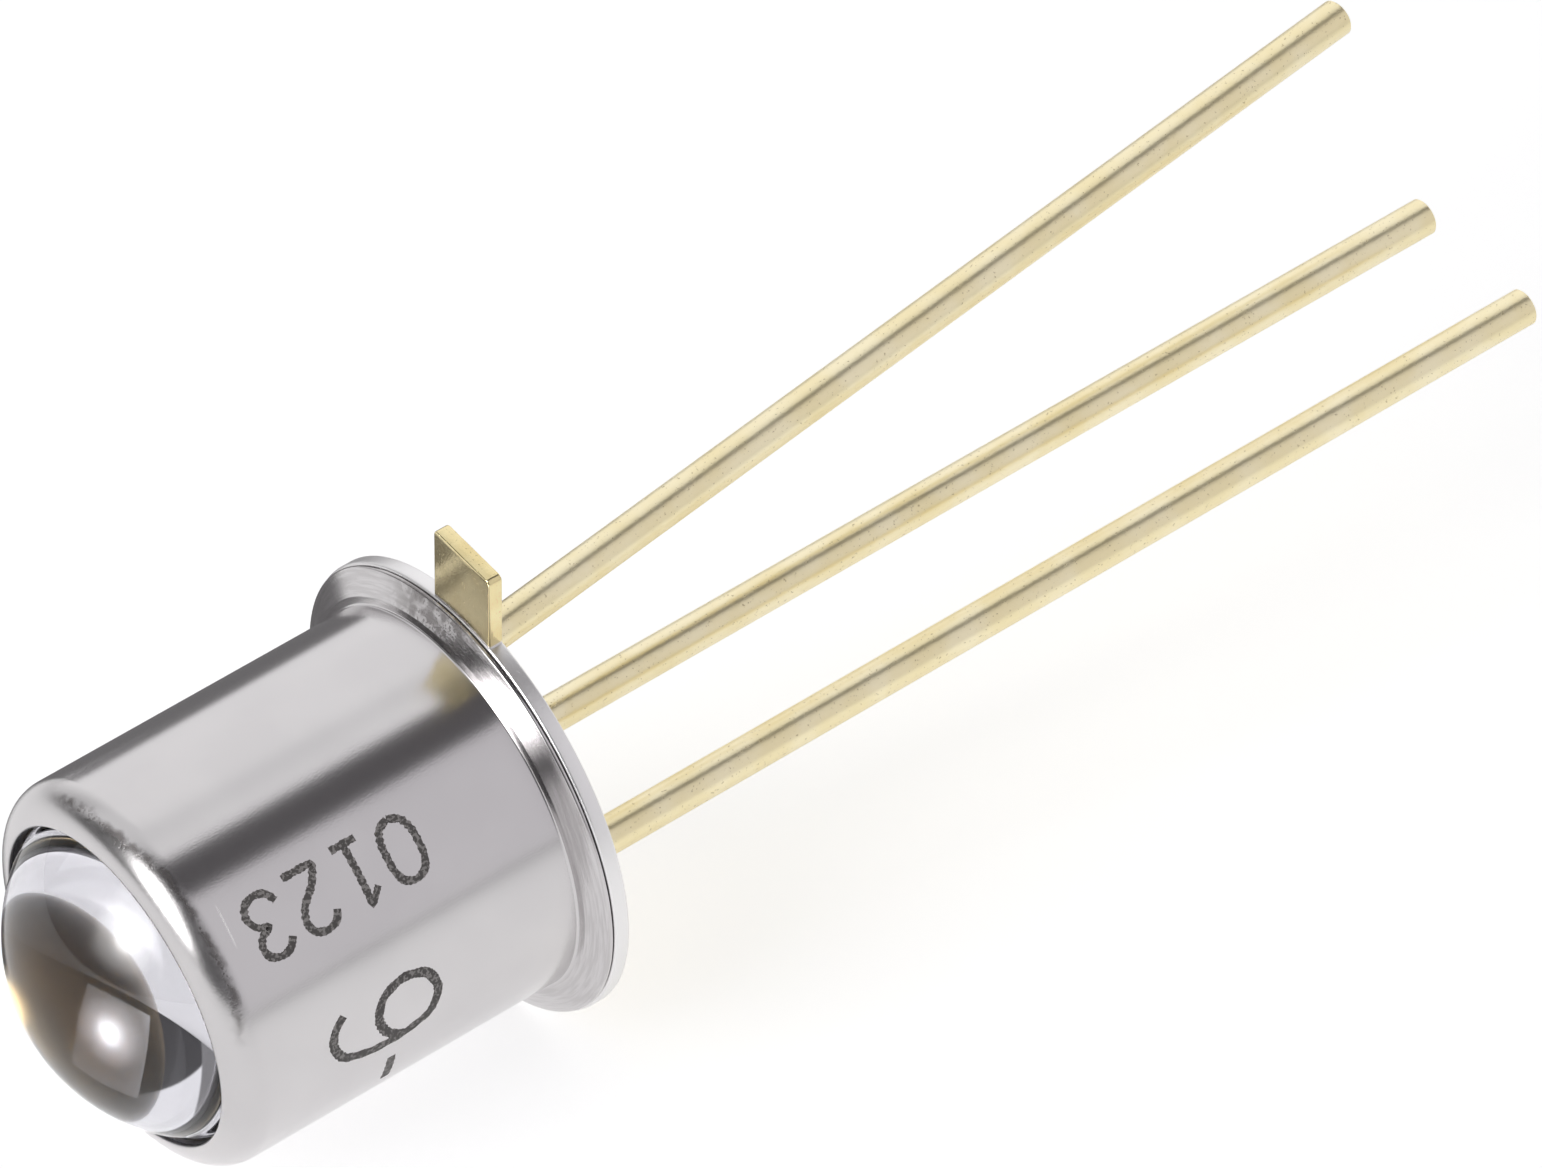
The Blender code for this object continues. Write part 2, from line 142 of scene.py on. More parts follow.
class Graph:
    """A node tree that is being wired up."""

    def __init__(self, tree: bpy.types.NodeTree) -> None:
        """Take the tree to wire."""
        self.tree = tree

    def feed(self, socket: bpy.types.NodeSocket, value: object) -> None:
        """Give an input its source or its plain value.

        Args:
            socket: The input.
            value: What a node puts out, or a plain value; a plain colour has no alpha.
        """
        if isinstance(value, Value):
            self.tree.links.new(value.socket, socket)
        else:
            socket.default_value = (*value, 1.0) if socket.type == "RGBA" else value

    def add(self, kind: str, inputs: dict | None = None, **settings: object) -> bpy.types.Node:
        """Add a node.

        Args:
            kind: The node's type name.
            inputs: Values or sources by input name or index.
            **settings: Properties of the node itself.

        Returns:
            The new node.
        """
        node = self.tree.nodes.new(kind)
        for name, value in settings.items():
            setattr(node, name, value)
        for key, value in (inputs or {}).items():
            self.feed(node.inputs[key], value)
        return node

    def outputs(
        self, kind: str, inputs: dict | None = None, **settings: object
    ) -> dict[str, Value]:
        """Add a shader node, its type name without ShaderNode, and give its outputs by name."""
        node = self.add(f"ShaderNode{kind}", inputs, **settings)
        return {socket.name: Value(self, socket) for socket in node.outputs}

    def math(self, operation: str, *values: Value | float) -> Value:
        """One Math node with its inputs in order."""
        return self.outputs("Math", dict(enumerate(values)), operation=operation)["Value"]

    def mix(self, share: Value, first: Value | Colour, second: Value | Colour) -> Value:
        """A mix of two colours.

        Args:
            share: The share of the second.
            first: The colour at 0.
            second: The colour at 1.

        Returns:
            The mixed colour.
        """
        node = self.add("ShaderNodeMix", data_type="RGBA")
        sockets = {socket.identifier: socket for socket in (*node.inputs, *node.outputs)}
        for key, value in (("Factor_Float", share), ("A_Color", first), ("B_Color", second)):
            self.feed(sockets[key], value)
        return Value(self, sockets["Result_Color"])

    def noise(self, place: Value, scale: Value | float, detail: float) -> Value:
        """Noise of about 0.5 at a place, from its features per metre and its octaves."""
        inputs = {"Vector": place, "Scale": scale, "Detail": detail}
        return self.outputs("TexNoise", inputs)["Fac"]

    def place(self) -> Value:
        """The point on an object, in the object's own frame."""
        return self.outputs("TexCoord")["Object"]

    def upright(self) -> Value:
        """The point on a laid piece, in metres in the frame of the part that stands upright.

        Returns:
            The point.
        """
        pose = Proportions().rest_pose()
        back = {"Location": pose.to_translation(), "Rotation": pose.to_euler("XYZ")}
        back["Vector"] = self.place()
        return self.outputs("Mapping", back, vector_type="TEXTURE")["Vector"]

    def axes(self, place: Value) -> tuple[Value, ...]:
        """The three coordinates of a point or a direction."""
        parts = self.outputs("SeparateXYZ", {"Vector": place})
        return tuple(parts[axis] for axis in "XYZ")

    def distance(self) -> Value:
        """How far a point is from its object's origin."""
        return self.outputs("VectorMath", {0: self.place()}, operation="LENGTH")["Value"]

    def ray(self, kind: str) -> Value:
        """1 for a ray of the named kind, otherwise 0."""
        return self.outputs("LightPath")[f"Is {kind} Ray"]

    def seen_directly(self) -> Value:
        """1 where a camera, mirror or glass ray looks, 0 for the light that falls on things."""
        return self.ray("Camera") | self.ray("Glossy") | self.ray("Transmission")

    def bump(self, height: Value, depth: float) -> Value:
        """A normal bumped by a height, with the depth in metres that a height of 1 stands for."""
        inputs = {"Strength": 1.0, "Distance": depth, "Height": height}
        return self.outputs("Bump", inputs)["Normal"]

    def group(self, tree: bpy.types.NodeTree, **values: float) -> dict[str, Value]:
        """Place a shared effect with its values here, and give what it puts out."""
        return self.outputs("Group", values, node_tree=tree)


def effect(name: str, inputs: dict[str, float], results: tuple[str, ...]) -> tuple:
    """Start a shared effect, or find the one that is there.

    Args:
        name: The group's name.
        inputs: Names and defaults of its values.
        results: Names of the values that it puts out.

    Returns:
        The group, and the graph to wire or None if it was wired before.
    """
    group = bpy.data.node_groups.get(name)
    if group is not None:
        return group, None
    group = bpy.data.node_groups.new(name, "ShaderNodeTree")
    for key, default in inputs.items():
        socket = group.interface.new_socket(key, in_out="INPUT", socket_type="NodeSocketFloat")
        socket.default_value = default
    for key in results:
        group.interface.new_socket(key, in_out="OUTPUT", socket_type="NodeSocketFloat")
    return group, Graph(group)


def plating_marks() -> bpy.types.NodeTree:
    """The fine marks of plated metal, by features per metre: grain, specks, cloud and patches.

    Returns:
        The effect's group.
    """
    settings = {"Grain": 45000.0, "Specks": 22000.0, "Cover": 0.4, "Cloud": 900.0}
    group, graph = effect("plating_marks", settings, ("Grain", "Specks", "Cloud", "Patch"))
    if graph is None:
        return group
    source = graph.add("NodeGroupInput")
    grain, specks, cover, cloud = (Value(graph, source.outputs[key]) for key in settings)
    place = graph.upright()
    over = graph.noise(place, specks, 2.0) - (1.0 - cover)
    marks = {
        "Grain": graph.noise(place, grain, 3.0),
        "Specks": over.step(0.0, SPECK_EDGE),
        "Cloud": graph.noise(place, cloud, 4.0).step(*CLOUD_STEP),
        "Patch": graph.noise(place, PATCH_SCALE, 1.0),
    }
    graph.add("NodeGroupOutput", marks)
    return group


def turned_place() -> bpy.types.NodeTree:
    """Where a point is on a turned piece, in mm and radians, and streaks that run round it.

    Returns:
        The effect's group.
    """
    group, graph = effect("turned_place", {}, ("Radius", "Height", "Angle", "Streaks"))
    if graph is None:
        return group
    x, y, z = graph.axes(graph.upright())
    radius = graph.math("SQRT", x * x + y * y) / MM
    angle = graph.math("ARCTAN2", y, x)
    long_way = {"X": radius * STREAKS_ACROSS, "Y": angle * STREAKS_ROUND}
    long_way["Z"] = z * (STREAKS_ACROSS / MM)
    streaks = graph.noise(graph.outputs("CombineXYZ", long_way)["Vector"], 1.0, 3.0)
    spot = {"Radius": radius, "Height": z / MM, "Angle": angle}
    graph.add("NodeGroupOutput", {**spot, "Streaks": streaks.step(*STREAK_STEP)})
    return group


def blank_material(name: str) -> tuple[bpy.types.Material, Graph]:
    """A new material with the shader that it starts with, and its graph.

    Args:
        name: The material's name.

    Returns:
        The material and the graph.
    """
    material = bpy.data.materials.new(name)
    material.use_nodes = True
    return material, Graph(material.node_tree)


# -------- Finishes --------


@dataclass(frozen=True)
class Finish:
    """A material whose look each kind of finish works out."""

    name: str

    def build(self) -> bpy.types.Material:
        """Make the material.

        Returns:
            The material.
        """
        material, graph = blank_material(self.name)
        shader = material.node_tree.nodes["Principled BSDF"]
        for key, value in self.look(graph).items():
            graph.feed(shader.inputs[key], value)
        return material

    def look(self, graph: Graph) -> dict[str, object]:
        """What the shader's inputs are fed, by their names."""
        raise NotImplementedError(self.name)


@dataclass(frozen=True)
class NickelPlate(Finish):
    """Satin nickel on the drawn can: dull inside, where a warm gold tint is a painted reflection of
    the gold header, and painted shade darkens the window's inner lip; worn in a ring round its
    shoulder, streaked round its flange and sooty beside the tab.

    Heights, radii and widths are in mm, turns round the axis in degrees and the soot's in
    radians. A pair of them is where a mask starts and where it is full.
    """

    bright: Colour = (0.635, 0.618, 0.622)
    dim: Colour = (0.615, 0.598, 0.603)
    streak: Colour = (0.30, 0.28, 0.275)
    speck: Colour = (0.12, 0.105, 0.10)
    scratched: Colour = (0.96, 0.95, 0.94)
    # painted reflection: the inside wall is tinted warm gold and lightened to stand for the gold
    # header that it mirrors
    inside: Colour = (0.62, 0.50, 0.31)
    # painted shade: the inner lip wall under the window, seen through the glass, is darkened to
    # stand for the shadow under the lip
    lip_painted_shade: Colour = (0.22, 0.215, 0.225)
    smooth: float = 0.15
    rough: float = 0.2
    inside_rough: float = 0.28
    worn_rough: float = 0.42
    scratch_rough: float = 0.6
    shoulder_rough: float = 0.07
    grain_depth: float = 5.5e-7
    speck_depth: float = 2.0e-6
    shoulder_depth: float = 1.1e-6
    shoulder_above: Span = (4.52, 4.62)
    flange_beyond: Span = (2.36, 2.4)
    flange_below: Span = (0.45, 0.4)
    inside_within: Span = (2.2, 2.18)
    inside_below: Span = (4.89, 4.87)
    inside_corner: Span = (6.86, 6.82)
    lip_within: Span = (2.0, 1.975)
    lip_below: Span = (4.928, 4.914)
    soot_angle: float = 0.12
    soot_reach: Span = (0.42, 0.1)
    worn_height: float = 4.635
    worn_half: float = 0.085
    worn_uneven: float = 0.12
    worn_rise: float = 0.12
    worn_lowest: float = -33.6
    worn_climb: Span = (14.0, 40.0)
    worn_middle: float = -15.6
    worn_reach: Span = (54.0, 40.0)
    worn_tone: float = 0.75
    worn_patches: Span = (0.38, 0.6)
    worn_share: Span = (0.35, 1.0)
    soot_tone: float = 0.9
    speck_tone: float = 0.7
    speck_relief: float = 0.35
    streak_tone: float = 0.25
    streak_relief: float = 0.1
    scratch_height: float = 4.372
    scratch_slope: float = 0.0022
    scratch_width: Span = (0.014, 0.003)
    scratch_turn: float = -35.6
    scratch_reach: Span = (7.0, 3.0)

    def ring(self, turn: Value, height: Value, patch: Value) -> Value:
        """The uneven worn ring round the shoulder.

        Args:
            turn: The turn round the axis.
            height: The height above the header's underside.
            patch: Slow noise that makes the ring wander.

        Returns:
            Its mask.
        """
        climb = abs(turn - self.worn_lowest).step(*self.worn_climb)
        level = climb * self.worn_rise + self.worn_height
        uneven = (patch - 0.5) * self.worn_uneven
        ring = abs(height + uneven - level).step(self.worn_half, 0.0)
        return ring * abs(turn - self.worn_middle).step(*self.worn_reach)

    def scratch(self, turn: Value, height: Value) -> Value:
        """The short scratch under the shoulder.

        Args:
            turn: The turn round the axis.
            height: The height above the header's underside.

        Returns:
            Its mask.
        """
        along = turn - self.scratch_turn
        line = abs(height + along * self.scratch_slope - self.scratch_height)
        return line.step(*self.scratch_width) * abs(along).step(*self.scratch_reach)

    def look(self, graph: Graph) -> dict[str, object]:
        """The plain nickel, then each thing that has marked it, and the painted reflection and
        painted shade inside.

        Args:
            graph: The material's graph.

        Returns:
            The shader's inputs by their names.
        """
        marks = graph.group(plating_marks(), Cover=0.5)
        spot = graph.group(turned_place())
        height, radius, angle = spot["Height"], spot["Radius"], spot["Angle"]
        turn = angle * (180.0 / math.pi)
        shoulder = height.step(*self.shoulder_above)
        flange = radius.step(*self.flange_beyond) * height.step(*self.flange_below)
        hidden = radius.step(*self.inside_within) * height.step(*self.inside_below)
        hidden = hidden * (radius + height).step(*self.inside_corner)
        lip = radius.step(*self.lip_within) * height.step(*self.lip_below)
        streaks = spot["Streaks"] * flange
        soot = flange * abs(angle - self.soot_angle).step(*self.soot_reach)
        spotted = self.ring(turn, height, marks["Patch"]) | soot * self.soot_tone
        specks = marks["Specks"] * spotted
        share = marks["Patch"].step(*self.worn_patches).spread(*self.worn_share)
        worn = spotted * self.worn_tone * share | specks * self.speck_tone
        scratch = self.scratch(turn, height)
        tone = graph.mix(marks["Cloud"], self.bright, self.dim)
        for mask, colour in (
            (streaks * self.streak_tone, self.streak),
            (worn, self.speck),
            (scratch, self.scratched),
            # painted reflection: warm gold inside the can stands for the mirrored gold header
            (hidden, self.inside),
            # painted shade on the inner lip wall under the window
            (lip, self.lip_painted_shade),
        ):
            tone = graph.mix(mask, tone, colour)
        rough = marks["Grain"].spread(self.smooth, self.rough) + shoulder * self.shoulder_rough
        for mask, level in (
            (hidden, self.inside_rough), (worn, self.worn_rough), (scratch, self.scratch_rough)
        ):
            rough = rough | mask * level
        depths = (self.grain_depth / self.speck_depth, self.shoulder_depth / self.speck_depth)
        relief = marks["Grain"] * shoulder.spread(*depths)
        relief = relief - specks * self.speck_relief + streaks * self.streak_relief
        normal = graph.bump(relief, self.speck_depth)
        return {"Base Color": tone, "Roughness": rough, "Metallic": 1.0, "Normal": normal}


@dataclass(frozen=True)
class GoldPlate(Finish):
    """Gold plating, with a rim left silvery by the weld where one is asked for."""

    bright: Colour = (0.86, 0.75, 0.44)
    dim: Colour = (0.76, 0.63, 0.33)
    speck: Colour = (0.30, 0.22, 0.10)
    rim: Colour = (0.85, 0.84, 0.84)
    rim_rough: float = 0.36
    rim_beyond: Span = (2.5, 2.6)
    rim_within: Span = (2.83, 2.79)
    smooth: float = 0.2
    rough: float = 0.32
    cover: float = 0.36
    speck_tone: float = 0.5
    welded_rim: bool = False
    relief: float = 1.2e-6

    def look(self, graph: Graph) -> dict[str, object]:
        """The gold with its grain and specks, and the rim.

        Args:
            graph: The material's graph.

        Returns:
            The shader's inputs by their names.
        """
        scales = {"Grain": 38000.0, "Specks": 30000.0, "Cloud": 1500.0}
        marks = graph.group(plating_marks(), Cover=self.cover, **scales)
        tone = graph.mix(marks["Cloud"], self.bright, self.dim)
        tone = graph.mix(marks["Specks"] * self.speck_tone, tone, self.speck)
        rough = marks["Grain"].spread(self.smooth, self.rough)
        if self.welded_rim:
            radius = graph.group(turned_place())["Radius"]
            band = radius.step(*self.rim_beyond) * radius.step(*self.rim_within)
            tone = graph.mix(band, tone, self.rim)
            rough = rough | band * self.rim_rough
        normal = graph.bump(marks["Grain"] - marks["Specks"], self.relief)
        return {"Base Color": tone, "Roughness": rough, "Metallic": 1.0, "Normal": normal}


@dataclass(frozen=True)
class WindowGlass(Finish):
    """Clear hard glass of the fused window, with a faint haze in patches."""

    tint: Colour = (0.87, 0.862, 0.912)
    index: float = 1.5
    haze_scale: float = 2500.0
    haze_cover: Span = (0.45, 0.75)
    haze_rough: Span = (0.0, 0.012)

    def look(self, graph: Graph) -> dict[str, object]:
        """The glass and its haze.

        Args:
            graph: The material's graph.

        Returns:
            The shader's inputs by their names.
        """
        haze = graph.noise(graph.upright(), self.haze_scale, 3.0).step(*self.haze_cover)
        plain = {"Base Color": self.tint, "IOR": self.index, "Transmission Weight": 1.0}
        return {"Roughness": haze.spread(*self.haze_rough), **plain}


@dataclass(frozen=True)
class SealGlass(Finish):
    """Dark green-grey sealing glass with small bubbles near its surface."""

    body: Colour = (0.035, 0.05, 0.045)
    bubble: Colour = (0.16, 0.2, 0.18)
    cloudy: float = 1.6
    smooth: float = 0.05
    rough: float = 0.16
    relief: float = 4.0e-6

    def look(self, graph: Graph) -> dict[str, object]:
        """The glass, its clouds and its bubbles.

        Args:
            graph: The material's graph.

        Returns:
            The shader's inputs by their names.
        """
        marks = graph.group(plating_marks(), Specks=26000.0, Cover=0.38)
        tone = graph.mix(marks["Cloud"], self.body, tuple(self.cloudy * c for c in self.body))
        tone = graph.mix(marks["Specks"], tone, self.bubble)
        normal = graph.bump(marks["Cloud"], self.relief)
        rough = marks["Grain"].spread(self.smooth, self.rough)
        return {"Base Color": tone, "Roughness": rough, "Normal": normal}


@dataclass(frozen=True)
class Silicon(Finish):
    """The chip: dark sensitive field, pale metal frame and two contact pads on its top."""

    top_height: float
    half_side: float
    pad_reach: float
    field_tone: Colour = (0.055, 0.07, 0.12)
    frame_tone: Colour = (0.62, 0.62, 0.64)
    side_tone: Colour = (0.16, 0.16, 0.18)
    field_cloud: float = 1.5
    pad_turns: Pair = (45.0, 135.0)
    pad_half: Span = (0.075, 0.068)
    top_band: Span = (0.012, 0.004)
    frame_inner: Span = (0.84, 0.86)
    frame_outer: Span = (0.95, 0.93)
    metallic: Span = (0.35, 1.0)
    polish: Span = (0.1, 0.22)
    relief: float = 1.5e-6

    def look(self, graph: Graph) -> dict[str, object]:
        """The field, the frame near the chip's edge and the pads under the bond wires.

        Args:
            graph: The material's graph.

        Returns:
            The shader's inputs by their names.
        """
        marks = graph.group(plating_marks(), Cloud=4000.0)
        x, y, z = (axis / MM for axis in graph.axes(graph.upright()))
        half, level = self.half_side / MM, self.top_height / MM
        top = z.step(*(level - below for below in self.top_band))
        across = abs(x) | abs(y)
        inner, outer = ([share * half for share in f] for f in (self.frame_inner, self.frame_outer))
        metal = across.step(*inner) * across.step(*outer)
        for turn in self.pad_turns:
            centre = around(self.pad_reach / MM, turn, 0.0)
            gap = abs(x - centre.x) | abs(y - centre.y)
            metal = metal | gap.step(*self.pad_half)
        metal = metal * top
        cloudy = tuple(self.field_cloud * c for c in self.field_tone)
        tone = graph.mix(marks["Cloud"], self.field_tone, cloudy)
        tone = graph.mix(top, self.side_tone, tone)
        return {
            "Base Color": graph.mix(metal, tone, self.frame_tone),
            "Metallic": metal.spread(*self.metallic),
            "Roughness": marks["Grain"].spread(*self.polish),
            "Normal": graph.bump(metal, self.relief),
        }


@dataclass(frozen=True)
class BlackenedMark(Finish):
    """Charcoal marking, burnt unevenly into the nickel."""

    dark: Colour = (0.125, 0.116, 0.112)
    thin: Colour = (0.39, 0.37, 0.36)
    thin_share: float = 0.85
    metallic: float = 0.5
    burnt: Span = (0.45, 0.7)
    relief: float = 2.0e-6

    def look(self, graph: Graph) -> dict[str, object]:
        """The charcoal and the nickel that shows through it.

        Args:
            graph: The material's graph.

        Returns:
            The shader's inputs by their names.
        """
        marks = graph.group(plating_marks(), Specks=30000.0, Cover=0.5)
        return {
            "Base Color": graph.mix(marks["Specks"] * self.thin_share, self.dark, self.thin),
            "Metallic": marks["Specks"] * self.metallic,
            "Roughness": marks["Grain"].spread(*self.burnt),
            "Normal": graph.bump(marks["Grain"], self.relief),
        }


# -------- Shapes --------


def arc(centre: Pair, radius: float, start: float, end: float, steps: int) -> Outline:
    """Points on an arc in the radius and height plane.

    Args:
        centre: Radius and height of the arc's centre.
        radius: The arc's own radius.
        start: First angle in degrees from the outward direction.
        end: Last angle in degrees.
        steps: How many straight pieces.

    Returns:
        The points in order.
    """
    points = []
    for i in range(steps + 1):
        turn = math.radians(start + (end - start) * i / steps)
        points.append((centre[0] + radius * math.cos(turn), centre[1] + radius * math.sin(turn)))
    return points


def around(radius: float, angle: float, height: float) -> Vector:
    """A point at an angle in degrees round the axis."""
    turn = math.radians(angle)
    return Vector((radius * math.cos(turn), radius * math.sin(turn), height))


def finished(name: str, form: bmesh.types.BMesh) -> bpy.types.Mesh:
    """Turn an edit mesh into a mesh and free it.

    Args:
        name: The mesh's name.
        form: The edit mesh.

    Returns:
        The mesh.
    """
    mesh = bpy.data.meshes.new(name)
    form.to_mesh(mesh)
    form.free()
    return mesh


def linked(name: str, data: bpy.types.ID) -> bpy.types.Object:
    """Link a new object to the scene.

    Args:
        name: The object's name.
        data: What it shows.

    Returns:
        The object.
    """
    thing = bpy.data.objects.new(name, data)
    bpy.context.scene.collection.objects.link(thing)
    return thing


def make_object(name: str, mesh: bpy.types.Mesh) -> bpy.types.Object:
    """Link a mesh to the scene as one smooth piece whose flats stay flat.

    Args:
        name: The piece's name.
        mesh: Its mesh.

    Returns:
        The new object.
    """
    mesh.shade_smooth()
    mesh.set_sharp_from_angle(angle=SHARP_ANGLE)
    piece = linked(name, mesh)
    weighted = piece.modifiers.new("even_flats", "WEIGHTED_NORMAL")
    weighted.keep_sharp = True
    return piece


def turned_mesh(name: str, outline: Outline, sides: int, ring: bool) -> bpy.types.Mesh:
    """Turn an outline, which runs down its outer side, about the axis.

    Args:
        name: The mesh's name.
        outline: Radius and height of each point.
        sides: How many sides the turned form has.
        ring: Whether the outline closes on itself instead of ending on the axis.

    Returns:
        A closed mesh.
    """
    form = bmesh.new()
    rings = []
    for radius, height in outline:
        if radius < AXIS_EPSILON:
            rings.append([form.verts.new((0.0, 0.0, height))])
            continue
        turns = [FULL_TURN * i / sides for i in range(sides)]
        spokes = [(radius * math.cos(t), radius * math.sin(t), height) for t in turns]
        rings.append([form.verts.new(spoke) for spoke in spokes])
    pairs = list(zip(rings, rings[1:]))
    if ring:
        pairs.append((rings[-1], rings[0]))
    for upper, lower in pairs:
        for i in range(sides):
            j = (i + 1) % sides
            corners = [upper[i % len(upper)], lower[i % len(lower)]]
            corners += [lower[j % len(lower)], upper[j % len(upper)]]
            face = [v for k, v in enumerate(corners) if v not in corners[:k]]
            if len(face) > 2:
                form.faces.new(face)
    return finished(name, form)


def skin(form: bmesh.types.BMesh, loops: list[list[bmesh.types.BMVert]]) -> None:
    """Close loops of as many corners each into a bar with flat ends.

    Args:
        form: The edit mesh that they are in.
        loops: The corners of each loop, in order.
    """
    for near, far in zip(loops, loops[1:]):
        for k, corner in enumerate(near):
            j = (k + 1) % len(near)
            form.faces.new((corner, near[j], far[j], far[k]))
    form.faces.new(loops[0][::-1])
    form.faces.new(loops[-1])
    bmesh.ops.recalc_face_normals(form, faces=form.faces)


def swept_mesh(name: str, path: list[Vector], radii: list[float], sides: int) -> bpy.types.Mesh:
    """Sweep a circle along a path without twisting it.

    Args:
        name: The mesh's name.
        path: Centre line.
        radii: Radius at each point of the path.
        sides: How many sides the circle has.

    Returns:
        A closed mesh with flat ends.
    """
    form = bmesh.new()
    rings = []
    along = (path[1] - path[0]).normalized()
    side = along.orthogonal().normalized()
    for i, (place, radius) in enumerate(zip(path, radii)):
        before, after = path[max(0, i - 1)], path[min(len(path) - 1, i + 1)]
        fresh = (after - before).normalized()
        side = (along.rotation_difference(fresh) @ side).normalized()
        along = fresh
        other = along.cross(side)
        ring = []
        for k in range(sides):
            turn = FULL_TURN * k / sides
            spoke = side * math.cos(turn) + other * math.sin(turn)
            ring.append(form.verts.new(place + spoke * radius))
        rings.append(ring)
    skin(form, rings)
    return finished(name, form)


def softened_block(
    name: str, size: Vector, centre: Vector, corner: float, edge: float
) -> bpy.types.Mesh:
    """A block with rounded upright corners and softened level edges.

    Args:
        name: The mesh's name.
        size: Its three sides.
        centre: Its middle.
        corner: Radius of the upright corners.
        edge: Radius of the level edges.

    Returns:
        A closed mesh.
    """
    form = bmesh.new()
    bmesh.ops.create_cube(form, size=1.0)
    bmesh.ops.scale(form, vec=size, verts=form.verts)
    rise = 0.5 * size.z
    even = {"profile": 0.5, "affect": "EDGES"}
    upright = [e for e in form.edges if abs(e.verts[0].co.z - e.verts[1].co.z) > rise]
    if corner > 0.0:
        bmesh.ops.bevel(form, geom=upright, offset=corner, segments=CORNER_ROWS, **even)
    level = [e for e in form.edges if abs(e.verts[0].co.z - e.verts[1].co.z) < 0.2 * rise]
    level = [e for e in level if len({abs(f.normal.z) > 0.5 for f in e.link_faces}) == 2]
    bmesh.ops.bevel(form, geom=level, offset=edge, segments=EDGE_ROWS, **even)
    bmesh.ops.translate(form, vec=centre, verts=form.verts)
    return finished(name, form)


# -------- Sizes that several sub-assemblies share --------


@dataclass(frozen=True)
class Proportions:
    """Sizes of the part that more than one piece depends on."""

    can_radius: float = 0.00235
    can_height: float = 0.00493
    can_wall: float = 0.00018
    shoulder_round: float = 0.00042
    window_radius: float = 0.00195
    header_radius: float = 0.00278
    header_flange: float = 0.0002
    header_chamfer: float = 0.00002
    pedestal_top: float = 0.00105
    lead_circle: float = 0.00127
    lead_radius: float = 0.000225
    lead_length: float = 0.0144
    lens_radius: float = 0.00226
    lens_centre: float = 0.003644
    seat_gap: float = 0.00001
    cad_sides: int = 64
    bead_sides: int = 64
    seal_radius: float = 0.0005
    underside_depth: float = 0.00003
    emitter_angle: float = 45.0
    base_angle: float = 135.0
    collector_angle: float = 225.0

    @property
    def shoulder_core(self) -> float:
        """Radius of the circle that the shoulder's round is centred on."""
        return self.can_radius - self.shoulder_round

    @property
    def shoulder_level(self) -> float:
        """Height of that circle."""
        return self.can_height - self.shoulder_round

    @property
    def inner_radius(self) -> float:
        """Radius inside the can."""
        return self.can_radius - self.can_wall

    @property
    def rim_radius(self) -> float:
        """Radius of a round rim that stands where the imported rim's flats stand."""
        return self.header_radius * math.cos(math.pi / self.cad_sides)

    @property
    def tilt(self) -> float:
        """Angle in radians by which the nose drops when the part lies on rim and shoulder.

        Returns:
            The angle.
        """
        run = self.header_radius - self.shoulder_core
        rise = self.shoulder_level - (self.header_flange - self.header_chamfer)
        return math.acos(self.shoulder_round / math.hypot(run, rise)) - math.atan2(rise, run)

    @property
    def roll(self) -> float:
        """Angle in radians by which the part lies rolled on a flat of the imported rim."""
        return 1.5 * FULL_TURN / self.cad_sides

    def rest_pose(self) -> Matrix:
        """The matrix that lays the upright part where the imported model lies.

        Returns:
            The matrix.
        """
        rim_level = self.header_flange - self.header_chamfer
        lift = self.rim_radius * math.cos(self.tilt) + rim_level * math.sin(self.tilt)
        lean = math.radians(self.collector_angle - 180.0) - self.roll
        lowest = self.lead_circle * math.cos(lean) + self.lead_radius
        back = self.lead_length * math.cos(self.tilt) + lowest * math.sin(self.tilt)
        front = (self.lens_centre + self.lens_radius) * math.cos(self.tilt)
        turn = Euler((0.0, -(0.5 * math.pi + self.tilt), -self.roll), "ZYX")
        place = Matrix.Translation((0.5 * (front - back), 0.0, lift))
        return place @ turn.to_matrix().to_4x4()


@dataclass
class SubAssembly:
    """A group of pieces that are built and dressed together."""

    sizes: Proportions

    def settle(
        self, piece: bpy.types.Object, material: bpy.types.Material, slot: Slot | None, *nodes: str
    ) -> bpy.types.Object:
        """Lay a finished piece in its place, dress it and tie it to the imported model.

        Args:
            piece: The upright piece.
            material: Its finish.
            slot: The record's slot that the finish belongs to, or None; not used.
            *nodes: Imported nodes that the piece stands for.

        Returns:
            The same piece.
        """
        piece.data.materials.clear()
        piece.data.materials.append(material)
        piece.data.transform(self.sizes.rest_pose())
        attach(piece, BODY)
        if nodes:
            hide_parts(*nodes)
        faces = len(piece.data.polygons)
        LOG.info("%s: %d faces, stands for %s", piece.name, faces, ", ".join(nodes) or "itself")
        return piece


# -------- Can and window --------


